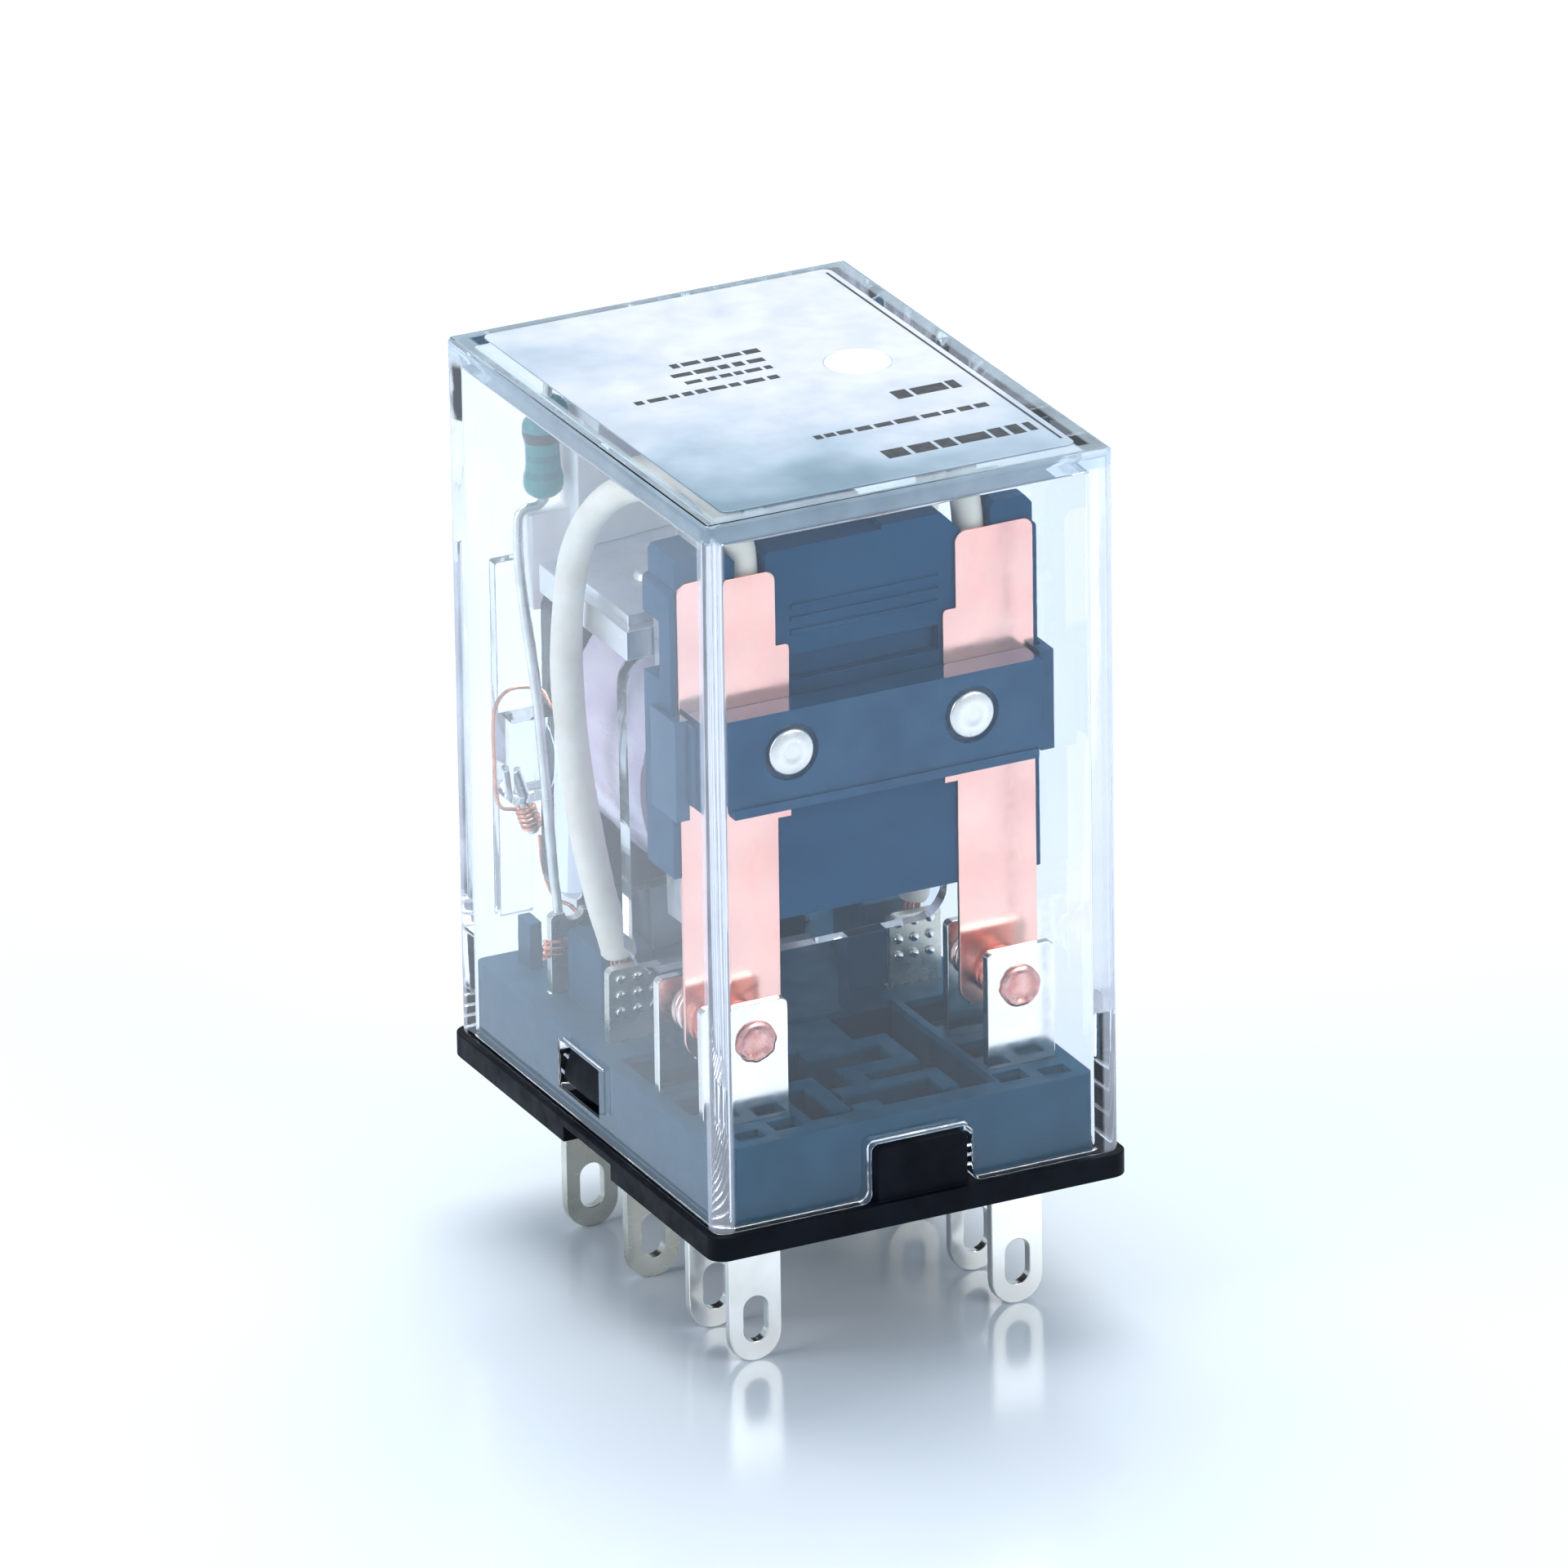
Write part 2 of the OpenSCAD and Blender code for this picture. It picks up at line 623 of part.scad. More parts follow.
module contact_carrier() {
    color([0.2, 0.25, 0.32]) difference() {
        union() {
            sheet_y(spring_back, card_back) card_outline();
            at_rest() span_box([-5.9, card_back - 1.2, 14.4], [5.9, iron_front, 27.6]);
            // low ridges across the front
            for (z = [27.1, 27.7, 28.3])
                span_box([-3.7, spring_back - 0.12, z], [3.7, spring_back + 0.5, z + 0.22]);
            span_box([card_half - 0.5, -7.4, 26.6], [card_half + 0.25, -6.0, 28.6]);
        }
        span_box([-card_half - 1, -6.8, 25.5], [-7.9, card_back + 1, 28.3]);
        span_box([7.9, -5.9, 25.5], [card_half + 1, card_back + 1, 28.3]);
        span_box([-3.7, spring_back - 1, 24.9], [3.7, spring_back + 0.5, 26.1]);
        for (s = [-1, 1]) rod_y(s * rivet_x, rivet_z, rivet_shank_r, spring_back - 1, -6.0);
        // the armature's tongue ends in this cut behind the crest
        span_box([-tongue_half - 0.1, -5.5, tongue_z[0] - 0.5], [tongue_half + 0.1, -4, 32]);
    }
}

module clamp_bar() {
    flange_front = -8.9;
    recess_r = 1.35;
    color([0.2, 0.25, 0.32]) difference() {
        union() {
            span_box([-8.0, bar_front, bar_z[0]], [8.0, spring_front, bar_z[1]]);
            span_box([-7.4, bar_front - 0.15, bar_z[0] - 0.35], [7.8, spring_front - 0.6, bar_z[0] + 0.1]);
            mirrored_pair() {
                span_box([7.9, bar_front + 0.35, 20.2], [8.35, spring_front, 24.0]);
                span_box([8.3, flange_front, 19.45], [9.0, -6.4, 24.25]);
            }
        }
        for (s = [-1, 1]) {
            rod_y(s * rivet_x, rivet_z, recess_r, bar_front - 1, bar_front + 0.3);
            rod_y(s * rivet_x, rivet_z, rivet_shank_r, bar_front - 1, spring_front + 1);
        }
        // the claws reach back beside the carrier without touching it
        span_box([-card_half - gap, spring_front, 19], [card_half + gap, -5, 25]);
    }
}

module clamp_rivets() {
    head_r = 1.12;
    seat = bar_front + 0.3;
    color([0.88, 0.89, 0.9]) for (s = [-1, 1]) {
        rod_y(s * rivet_x, rivet_z, rivet_shank_r, seat, -6.1);
        rod_y(s * rivet_x, rivet_z, head_r, seat - 0.35, seat);
        cone_y(s * rivet_x, rivet_z, head_r - 0.15, head_r, seat - 0.5, seat - 0.35);
    }
}

module spring_outline() {
    difference() {
        union() {
            tab_outline(4.5, 8.4, 8.5, 30.4, 0.5);
            translate([5.0, 7.5]) square([2.9, 2]);
            for (x = [5.5, 7.4]) translate([x, 8.5]) circle(1.0);
            tab_outline(3.85, 6, 18.5, 26.8, 0.2);
        }
        translate([blade_x, contact_z]) circle(contact_shank_r);
        translate([rivet_x, rivet_z]) circle(rivet_shank_r);
    }
}

module contact_spring_right() {
    color([0.95, 0.68, 0.65]) sheet_y(spring_front, spring_back) spring_outline();
}

module contact_spring_left() {
    mirror([1, 0, 0]) contact_spring_right();
}

// Double-headed contacts riveted through the springs
module moving_contacts() {
    full = contact_h * 0.6;
    tip = spring_front - contact_h + 0.02;
    color([0.85, 0.6, 0.55]) mirrored_pair() {
        rod_y(blade_x, contact_z, contact_shank_r, spring_front, spring_back);
        rod_y(blade_x, contact_z, contact_r, spring_front - full, spring_front);
        cone_y(blade_x, contact_z, 0.7, contact_r, tip, spring_front - full);
        rod_y(blade_x, contact_z, contact_r, spring_back, spring_back + full);
        cone_y(blade_x, contact_z, contact_r, 0.7, spring_back + full, spring_back + contact_h);
    }
}

module flexible_lead_right() {
    color([0.94, 0.91, 0.85]) wire(lead_route, lead_r, 10);
}

module flexible_lead_left() {
    color([0.94, 0.91, 0.85]) wire(flip_x(lead_route), lead_r, 10);
}

// ---------------------------------------------------------------- indicator

module indicator_holder() {
    color([0.95, 0.96, 0.98]) union() {
        span_box([-5.3, 8.7, yoke_z[1]], [6.6, 10.9, deck_z[1]]);
        span_box([-5.3, 7.2, deck_z[0]], [6.6, 10.9, deck_z[1]]);
        span_box([2.4, -0.8, deck_z[0]], [6.6, 8.0, deck_z[1]]);
        // a leg on each side clips down over the yoke
        mirrored_pair() {
            span_box([5.65, 9.65, 22.6], [7.3, 10.9, 27.2]);
            span_box([4.0, 9.65, 25.7], [7.3, 10.9, 27.2]);
        }
    }
}

module indicator_lamp() {
    rim = 0.5;
    dome = 0.55;
    color([0.9, 0.35, 0.3]) translate([label_hole[0], label_hole[1], deck_z[1]]) {
        cylinder(h = rim, r = lamp_r + 0.05);
        translate([0, 0, rim]) cylinder(h = 0.7, r = lamp_r - 0.2);
        translate([0, 0, rim + 0.7]) cylinder(h = dome, r1 = lamp_r - 0.2, r2 = 0.6);
    }
}

module resistor_body() {
    color([0.25, 0.68, 0.68]) translate(resistor_pos) {
        cylinder(h = 0.3, r1 = resistor_r - 0.25, r2 = resistor_r);
        translate([0, 0, 0.3]) cylinder(h = resistor_l - 0.6, r = resistor_r);
        translate([0, 0, resistor_l - 0.3]) cylinder(h = 0.3, r1 = resistor_r, r2 = resistor_r - 0.25);
    }
}

module resistor_leads() {
    color([0.8, 0.83, 0.82]) {
        wire(resistor_lower_route, fine_r, 8, [0, 1, 0]);
        wire(resistor_upper_route, fine_r, 8, [1, 1.2, 0.1]);
    }
}

module lamp_lead() {
    color([0.8, 0.83, 0.82]) wire(lamp_lead_route, fine_r, 8);
}

// ---------------------------------------------------------------- nodes

base();
cover();
label();
nc_terminal_left();
nc_terminal_right();
no_terminal_left();
no_terminal_right();
common_terminal_left();
common_terminal_right();
coil_terminal_left();
coil_terminal_right();
nc_contacts();
no_contacts();
yoke();
core();
shading_ring();
bobbin();
coil_winding();
coil_tape();
winding_pins();
winding_end_wires();
spring_anchor_plate();
anchor_rivets();
return_spring();
armature_plate();
contact_carrier();
clamp_bar();
clamp_rivets();
contact_spring_left();
contact_spring_right();
moving_contacts();
flexible_lead_left();
flexible_lead_right();
indicator_holder();
indicator_lamp();
resistor_body();
resistor_leads();
lamp_lead();
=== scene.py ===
import json
import math
import random

import bmesh
import bpy
from mathutils import Matrix, Vector, noise

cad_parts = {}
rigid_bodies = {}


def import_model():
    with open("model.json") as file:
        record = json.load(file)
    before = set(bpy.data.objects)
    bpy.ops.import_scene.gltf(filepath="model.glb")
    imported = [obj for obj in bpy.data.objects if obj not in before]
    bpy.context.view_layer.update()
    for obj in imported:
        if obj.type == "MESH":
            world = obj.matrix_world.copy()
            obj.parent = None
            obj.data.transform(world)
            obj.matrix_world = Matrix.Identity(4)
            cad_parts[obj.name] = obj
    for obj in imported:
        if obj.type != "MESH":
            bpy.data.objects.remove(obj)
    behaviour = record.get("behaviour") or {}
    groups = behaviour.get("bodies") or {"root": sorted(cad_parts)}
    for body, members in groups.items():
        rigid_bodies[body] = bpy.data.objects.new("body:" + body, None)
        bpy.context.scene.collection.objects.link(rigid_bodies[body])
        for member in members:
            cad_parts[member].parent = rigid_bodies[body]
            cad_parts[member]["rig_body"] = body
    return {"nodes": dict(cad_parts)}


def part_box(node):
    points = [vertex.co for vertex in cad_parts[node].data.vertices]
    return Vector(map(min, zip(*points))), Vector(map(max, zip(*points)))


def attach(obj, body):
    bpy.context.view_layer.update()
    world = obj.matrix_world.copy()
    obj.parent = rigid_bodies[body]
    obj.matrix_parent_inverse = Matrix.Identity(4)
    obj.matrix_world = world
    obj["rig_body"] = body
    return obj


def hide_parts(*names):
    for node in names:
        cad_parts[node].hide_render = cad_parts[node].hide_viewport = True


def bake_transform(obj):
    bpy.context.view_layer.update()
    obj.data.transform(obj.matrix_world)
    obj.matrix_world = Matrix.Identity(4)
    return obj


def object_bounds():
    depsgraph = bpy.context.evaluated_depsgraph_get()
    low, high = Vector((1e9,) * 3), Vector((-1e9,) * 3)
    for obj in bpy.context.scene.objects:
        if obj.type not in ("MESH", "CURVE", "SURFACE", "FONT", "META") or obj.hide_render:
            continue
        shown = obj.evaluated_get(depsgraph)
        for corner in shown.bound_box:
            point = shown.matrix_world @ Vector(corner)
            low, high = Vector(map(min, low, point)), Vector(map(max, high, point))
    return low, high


# A two-pole plug-in relay under a clear cover. The CAD gives every part its size and place; this script
# gives each part rounded edges, a finish, and the small details that the CAD leaves out.
# Lengths are millimetres unless a name or a comment says otherwise, and MM turns them into metres.

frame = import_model()
cad_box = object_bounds()
scene = bpy.context.scene
rng = random.Random(11)
MM = 0.001
BODY_OF = {name: node["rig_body"] for name, node in frame["nodes"].items()}


def node_box(node):
    """Lowest and highest corner of a CAD node, in millimetres."""
    low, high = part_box(node)
    return low / MM, high / MM


# ------------------------------------------------------------------ materials


class Looks:
    """Small helper that wires one material's nodes."""

    def __init__(self, name):
        self.material = bpy.data.materials.new(name)
        self.material.use_nodes = True
        self.tree = self.material.node_tree
        self.shader = self.tree.nodes["Principled BSDF"]
        self.output = self.tree.nodes["Material Output"]
        self.place = self.node("ShaderNodeTexCoord").outputs["Object"]

    def node(self, kind, **settings):
        made = self.tree.nodes.new(kind)
        for name, value in settings.items():
            setattr(made, name, value)
        return made

    def link(self, source, target):
        self.tree.links.new(source, target)

    def noise(self, grain, stretch=(1, 1, 1), detail=3.0):
        """Noise whose blobs are about grain millimetres across, drawn out along an axis by stretch."""
        mapping = self.node("ShaderNodeMapping")
        self.link(self.place, mapping.inputs["Vector"])
        mapping.inputs["Scale"].default_value = [1 / (grain * MM * s) for s in stretch]
        texture = self.node("ShaderNodeTexNoise")
        self.link(mapping.outputs["Vector"], texture.inputs["Vector"])
        texture.inputs["Scale"].default_value = 1.0
        texture.inputs["Detail"].default_value = detail
        return texture.outputs["Fac"]

    def ramp(self, factor, stops):
        """Colour ramp; stops are (position, colour)."""
        ramp = self.node("ShaderNodeValToRGB")
        elements = ramp.color_ramp.elements
        while len(elements) < len(stops):
            elements.new(0.5)
        for element, (position, colour) in zip(elements, stops):
            element.position = position
            element.color = (*colour, 1)
        self.link(factor, ramp.inputs["Fac"])
        return ramp.outputs["Color"]

    def span(self, factor, low, high, start=0.3, end=0.7):
        """factor from start to end, mapped to low to high."""
        mapped = self.node("ShaderNodeMapRange")
        self.link(factor, mapped.inputs["Value"])
        mapped.inputs["From Min"].default_value = start
        mapped.inputs["From Max"].default_value = end
        mapped.inputs["To Min"].default_value = low
        mapped.inputs["To Max"].default_value = high
        return mapped.outputs["Result"]

    def bump(self, *layers):
        """Bump from layers of (height, depth in millimetres), added up."""
        normal = None
        for height, depth in layers:
            bump = self.node("ShaderNodeBump")
            bump.inputs["Distance"].default_value = depth * MM
            self.link(height, bump.inputs["Height"])
            if normal is not None:
                self.link(normal, bump.inputs["Normal"])
            normal = bump.outputs["Normal"]
        self.link(normal, self.shader.inputs["Normal"])

    def combine(self, operation, first, second, clamp=False):
        """Sum, product, largest and so on of two values; clamp holds the result between 0 and 1."""
        result = self.node("ShaderNodeMath", operation=operation, use_clamp=clamp)
        self.link(first, result.inputs[0])
        self.link(second, result.inputs[1])
        return result.outputs["Value"]

    def sized(self, value):
        """The value without its sign."""
        result = self.node("ShaderNodeMath", operation="ABSOLUTE")
        self.link(value, result.inputs[0])
        return result.outputs["Value"]

    def axes(self):
        """X, Y and Z of the point, as outputs by name."""
        parts = self.node("ShaderNodeSeparateXYZ")
        self.link(self.place, parts.inputs["Vector"])
        return parts.outputs

    def mixed(self, factor, first, second, mode="MIX"):
        """Two colours mixed by the factor, which is a value or a socket."""
        mix = self.node("ShaderNodeMix", data_type="RGBA", blend_type=mode)
        if isinstance(factor, float):
            mix.inputs["Factor"].default_value = factor
        else:
            self.link(factor, mix.inputs["Factor"])
        self.link(first, mix.inputs["A"])
        self.link(second, mix.inputs["B"])
        return mix.outputs["Result"]

    def sockets(self, **values):
        for name, value in values.items():
            self.shader.inputs[name.replace("_", " ")].default_value = value


def surface(name, tones, rough, grain, bump=0.0, fine=0.15, stretch=(1, 1, 1), **sockets):
    """A mottled finish: two tones and two roughnesses follow one noise, fine grain lifts the surface."""
    look = Looks(name)
    mottle = look.noise(grain, stretch)
    look.link(look.ramp(mottle, [(0.36, tones[0]), (0.64, tones[1])]), look.shader.inputs["Base Color"])
    smear = look.noise(grain * 0.6, stretch, detail=5.0)
    look.link(look.span(smear, rough[0], rough[1]), look.shader.inputs["Roughness"])
    if bump:
        look.bump((look.noise(fine, stretch, detail=2.0), bump))
    look.sockets(**sockets)
    return look.material


def let_light_in(look, clearness):
    """Lamps and soft light pass straight through the clear part; the camera still sees it bend light."""
    path = look.node("ShaderNodeLightPath").outputs
    soft = look.combine("MAXIMUM", path["Is Shadow Ray"], path["Is Diffuse Ray"])
    through = look.node("ShaderNodeBsdfTransparent")
    through.inputs["Color"].default_value = (*clearness, 1)
    mix = look.node("ShaderNodeMixShader")
    look.link(soft, mix.inputs["Fac"])
    look.link(look.shader.outputs["BSDF"], mix.inputs[1])
    look.link(through.outputs["BSDF"], mix.inputs[2])
    look.link(mix.outputs["Shader"], look.output.inputs["Surface"])


def edge_band(look, node, width):
    """Two masks: 1 along the upright edges and top edges of the node's box, and 1 near its top."""
    _, high = node_box(node)
    place = look.axes()
    fade = 0.15
    near = {}
    for axis, reach in (("X", high.x), ("Y", high.y), ("Z", high.z)):
        start = reach - width
        near[axis] = look.span(look.sized(place[axis]), 0.0, 1.0, start * MM, (start + fade) * MM)
    upright = look.combine("MULTIPLY", near["X"], near["Y"])
    rim = look.combine("MULTIPLY", near["Z"], look.combine("MAXIMUM", near["X"], near["Y"]))
    return look.combine("MAXIMUM", upright, rim), near["Z"]


def clear_plastic(name, tint, ior, rough, clearness, bump, painted_edge_glow=None):
    """Moulded clear plastic with faint ripples, flow lines and scuffs.

    The optional last argument paints the thick edges pale and less clear, a painted glow standing for light
    refracted through the wall's thickness: it holds the node, the edges' width, how far they go from clear to
    pale, the tone of the upright edges and the tone of the top ones.
    """
    look = Looks(name)
    look.sockets(Transmission_Weight=1.0, IOR=ior, Specular_Tint=(0.6, 0.64, 0.7, 1))
    drift = look.noise(6.0, detail=1.0)
    low, high = tint
    colour = look.ramp(drift, [(0.35, low), (0.65, high)])
    # painted light: pale colour and less transmission along the thick edges stand for light refracted through
    # the walls, the top edges in a darker painted tone
    if painted_edge_glow:
        node, width, share, upright_glow_tone, top_glow_tone = painted_edge_glow
        band, near_top = edge_band(look, node, width)
        colour = look.mixed(band, colour, look.ramp(near_top, [(0.0, upright_glow_tone), (1.0, top_glow_tone)]))
        patchy = look.combine("MULTIPLY", band, look.span(look.noise(2.5), share * 0.7, share))
        look.link(look.span(patchy, 1.0, 0.0, 0.0, 1.0), look.shader.inputs["Transmission Weight"])
    look.link(colour, look.shader.inputs["Base Color"])
    scuffs = look.noise(0.9, (1, 1, 3), detail=6.0)
    look.link(look.span(scuffs, rough[0], rough[1], 0.55, 0.8), look.shader.inputs["Roughness"])
    look.bump((look.noise(5.0, detail=0.0), bump), (look.noise(0.4, (1, 1, 4), detail=4.0), bump * 0.04))
    let_light_in(look, clearness)
    return look.material


def label_film():
    """Silvery film with a painted reflection: paler towards the back and the +X side, darker towards the
    contact end, with a random cloudy tone.
    """
    look = Looks("label_film")
    low, high = node_box("label")
    place = look.axes()
    # painted reflection: the colour is painted paler towards the back and the +X side and darker towards the
    # contact end, in place of the film's sheen
    painted_sheen_start, painted_sheen_end = low.y - 1.0, low.y + 12.0
    along = look.span(place["Y"], 0.0, 1.0, painted_sheen_start * MM, painted_sheen_end * MM)
    across = look.span(place["X"], -0.25, 0.3, low.x * MM, high.x * MM)
    cloud = look.span(look.noise(5.0, detail=1.5), -0.22, 0.22)
    painted_sheen_and_tone = look.combine("ADD", look.combine("ADD", along, across), cloud, clamp=True)
    tones = [(0.0, (0.20, 0.30, 0.37)), (0.4, (0.42, 0.52, 0.62)), (1.0, (0.72, 0.74, 0.82))]
    look.link(look.ramp(painted_sheen_and_tone, tones), look.shader.inputs["Base Color"])
    look.link(look.span(look.noise(1.5), 0.3, 0.45), look.shader.inputs["Roughness"])
    look.bump((look.noise(0.08, (8, 1, 1)), 0.002))
    look.sockets(Metallic=0.25, Specular_IOR_Level=0.5, Coat_Weight=0.3, Coat_Roughness=0.12)
    return look.material


def resistor_enamel():
    """Teal lacquer with painted bands, laid out along the body's height."""
    look = Looks("resistor_enamel")
    low, high = node_box("resistor_body")
    height = look.span(look.axes()["Z"], 0.0, 1.0, low.z * MM, high.z * MM)
    teal, deep, dark = (0.000, 0.26, 0.27), (0.000, 0.20, 0.21), (0.001, 0.010, 0.018)
    stops = [(0.0, teal), (0.26, deep), (0.34, teal), (0.46, deep), (0.54, teal), (0.68, dark), (0.82, teal)]
    stripes = look.ramp(height, stops)
    stripes.node.color_ramp.interpolation = "CONSTANT"
    shade = look.ramp(look.noise(0.8), [(0.3, (0.7, 0.78, 0.78)), (0.7, (1, 1, 1))])
    look.link(look.mixed(1.0, stripes, shade, "MULTIPLY"), look.shader.inputs["Base Color"])
    look.link(look.span(look.noise(0.5), 0.16, 0.3), look.shader.inputs["Roughness"])
    look.bump((look.noise(0.5), 0.005))
    look.sockets(Coat_Weight=0.2, Coat_Roughness=0.08, Specular_IOR_Level=0.3)
    return look.material


def base_plastic():
    """Black moulding: near black on the rim; on the block a painted blue-grey haze stands for light scattered
    by the cover, weaker in its pockets as painted shade.
    """
    look = Looks("black_plastic")
    _, high = node_box("base")
    place = look.axes()
    x_size, y_size = look.sized(place["X"]), look.sized(place["Y"])
    fade, rim_top, rim_width = 0.1, 1.15, 1.0

    def beyond(value, start):
        return look.span(value, 0.0, 1.0, start * MM, (start + fade) * MM)

    def before(value, start):
        return look.span(value, 1.0, 0.0, start * MM, (start + fade) * MM)

    def both(*masks):
        total = masks[0]
        for mask in masks[1:]:
            total = look.combine("MULTIPLY", total, mask)
        return total

    inside = both(before(x_size, high.x - rim_width), before(y_size, high.y - rim_width))
    upper = both(beyond(place["Z"], rim_top + 0.02), inside)
    # the pockets in the middle of the block, below the tops of its ribs, which get painted shade
    pocket_half, pocket_front, pocket_back, rib_top = 8.5, -11.75, -0.4, 4.65
    deep = both(before(place["Z"], rib_top - fade), before(x_size, pocket_half),
                before(place["Y"], pocket_back), beyond(place["Y"], pocket_front))
    # painted light: the blue-grey haze lights the block's top, and the pockets get only 0.6 of it as painted
    # shade
    painted_haze = both(upper, look.span(deep, 1.0, 0.6, 0.0, 1.0))
    mottle = look.noise(1.6)
    matt = look.ramp(mottle, [(0.36, (0.002, 0.003, 0.006)), (0.64, (0.004, 0.006, 0.011))])
    slate = look.ramp(mottle, [(0.36, (0.000, 0.060, 0.120)), (0.64, (0.004, 0.076, 0.145))])
    look.link(look.mixed(painted_haze, matt, slate), look.shader.inputs["Base Color"])
    look.link(look.span(look.noise(1.0, detail=5.0), 0.42, 0.6), look.shader.inputs["Roughness"])
    look.sockets(Specular_IOR_Level=0.09)
    return look.material


def worn_metal(name, tones, rough, grain, scratch, scratch_stretch, **sockets):
    """Metal with a mottled tone and long fine scratches."""
    look = Looks(name)
    mottle = look.noise(grain)
    look.link(look.ramp(mottle, [(0.35, tones[0]), (0.65, tones[1])]), look.shader.inputs["Base Color"])
    smear = look.noise(grain * 0.5, detail=6.0)
    look.link(look.span(smear, rough[0], rough[1]), look.shader.inputs["Roughness"])
    lines = look.noise(0.05, scratch_stretch, detail=4.0)
    dents = look.noise(0.7, detail=2.0)
    look.bump((dents, scratch * 1.2), (lines, scratch))
    look.sockets(Metallic=1.0, **sockets)
    return look.material


def sleeve_rubber():
    """Cream silicone sleeve with a faint woven ripple under it."""
    look = Looks("sleeve_rubber")
    stops = [(0.3, (0.84, 0.79, 0.66)), (0.7, (0.95, 0.92, 0.83))]
    look.link(look.ramp(look.noise(1.4), stops), look.shader.inputs["Base Color"])
    look.link(look.span(look.noise(0.6), 0.38, 0.6), look.shader.inputs["Roughness"])
    look.bump((look.noise(0.9, detail=1.0), 0.08), (look.noise(0.12), 0.01))
    look.sockets(Subsurface_Weight=0.25, Subsurface_Scale=0.6 * MM, Sheen_Weight=0.15)
    return look.material


LOOK = {
    "black_plastic": base_plastic(),
    "slate_plastic": surface(
        "slate_plastic", [(0.001, 0.062, 0.145), (0.007, 0.080, 0.178)], (0.3, 0.45), 2.2,
        stretch=(3, 1, 1), Specular_IOR_Level=0.12),
    "bar_plastic": surface(
        "bar_plastic", [(0.002, 0.066, 0.155), (0.009, 0.088, 0.190)], (0.12, 0.22), 1.8,
        Specular_IOR_Level=0.2, Coat_Weight=0.1, Coat_Roughness=0.06),
    # the cover's edges get the painted edge glow: its width, reach, and the upright and top tones
    "clear_cover": clear_plastic(
        "clear_cover", [(0.95, 0.965, 0.99), (0.985, 0.99, 1.0)], 1.5, (0.0, 0.06), (0.97, 0.98, 0.99), 0.012,
        painted_edge_glow=("cover", 0.95, 0.42, (0.90, 0.91, 1.0), (0.66, 0.78, 0.86))),
    "clear_former": clear_plastic(
        "clear_former", [(0.82, 0.86, 0.89), (0.9, 0.93, 0.96)], 1.36, (0.02, 0.1), (0.86, 0.88, 0.9), 0.003),
    "label_film": label_film(),
    "label_ink": surface(
        "label_ink", [(0.016, 0.02, 0.026), (0.04, 0.046, 0.055)], (0.4, 0.6), 0.4),
    "blade_metal": worn_metal(
        "blade_metal", [(0.60, 0.60, 0.53), (0.76, 0.76, 0.70)], (0.24, 0.34), 1.8, 0.0005, (1, 1, 14)),
    "plate_metal": worn_metal(
        "plate_metal", [(0.84, 0.84, 0.80), (0.94, 0.94, 0.93)], (0.1, 0.2), 1.5, 0.001, (1, 1, 14)),
    "spring_copper": worn_metal(
        "spring_copper", [(0.90, 0.50, 0.44), (0.96, 0.60, 0.53)], (0.14, 0.26), 2.6, 0.0012, (1, 1, 16)),
    "contact_metal": worn_metal(
        "contact_metal", [(0.72, 0.30, 0.26), (0.92, 0.55, 0.50)], (0.18, 0.42), 0.5, 0.006, (1, 1, 1)),
    "contact_face": worn_metal(
        "contact_face", [(0.85, 0.55, 0.48), (0.95, 0.75, 0.70)], (0.1, 0.24), 0.8, 0.003, (1, 1, 1)),
    "yoke_steel": worn_metal(
        "yoke_steel", [(0.74, 0.76, 0.79), (0.88, 0.90, 0.93)], (0.26, 0.38), 3.0, 0.0004, (1, 10, 1)),
    "armature_steel": worn_metal(
        "armature_steel", [(0.60, 0.62, 0.65), (0.78, 0.80, 0.83)], (0.25, 0.4), 2.4, 0.0005, (10, 1, 1)),
    "rivet_metal": worn_metal(
        "rivet_metal", [(0.86, 0.85, 0.82), (0.96, 0.95, 0.92)], (0.26, 0.34), 0.8, 0.0006, (1, 1, 1)),
    "copper": worn_metal(
        "copper", [(0.62, 0.24, 0.14), (0.90, 0.45, 0.32)], (0.18, 0.35), 0.7, 0.001, (1, 1, 1)),
    "spring_steel": worn_metal(
        "spring_steel", [(0.42, 0.44, 0.47), (0.66, 0.68, 0.71)], (0.2, 0.3), 0.8, 0.001, (1, 1, 1)),
    "tinned_wire": worn_metal(
        "tinned_wire", [(0.66, 0.68, 0.66), (0.88, 0.90, 0.88)], (0.25, 0.4), 0.9, 0.002, (1, 1, 2)),
    "solder": worn_metal(
        "solder", [(0.62, 0.64, 0.66), (0.88, 0.89, 0.91)], (0.15, 0.3), 0.8, 0.002, (1, 1, 1)),
    "coil_tape": surface(
        "coil_tape", [(0.66, 0.54, 0.70), (0.82, 0.74, 0.86)], (0.22, 0.4), 2.0, bump=0.02, fine=0.8,
        stretch=(1, 3, 1), Coat_Weight=0.4, Coat_Roughness=0.1, Subsurface_Weight=0.2, Subsurface_Scale=MM),
    "white_plastic": surface(
        "white_plastic", [(0.90, 0.92, 0.95), (0.96, 0.97, 0.98)], (0.3, 0.45), 2.5, bump=0.004,
        fine=0.3, Subsurface_Weight=0.3, Subsurface_Scale=1.5 * MM),
    "lamp_red": surface(
        "lamp_red", [(0.85, 0.10, 0.06), (0.95, 0.22, 0.14)], (0.08, 0.18), 1.0, bump=0.002, fine=0.3,
        Transmission_Weight=0.6, IOR=1.5, Subsurface_Weight=0.2, Subsurface_Scale=MM),
    "resistor_enamel": resistor_enamel(),
    "lead_sleeve": sleeve_rubber(),
}


# ------------------------------------------------------------------ mesh helpers


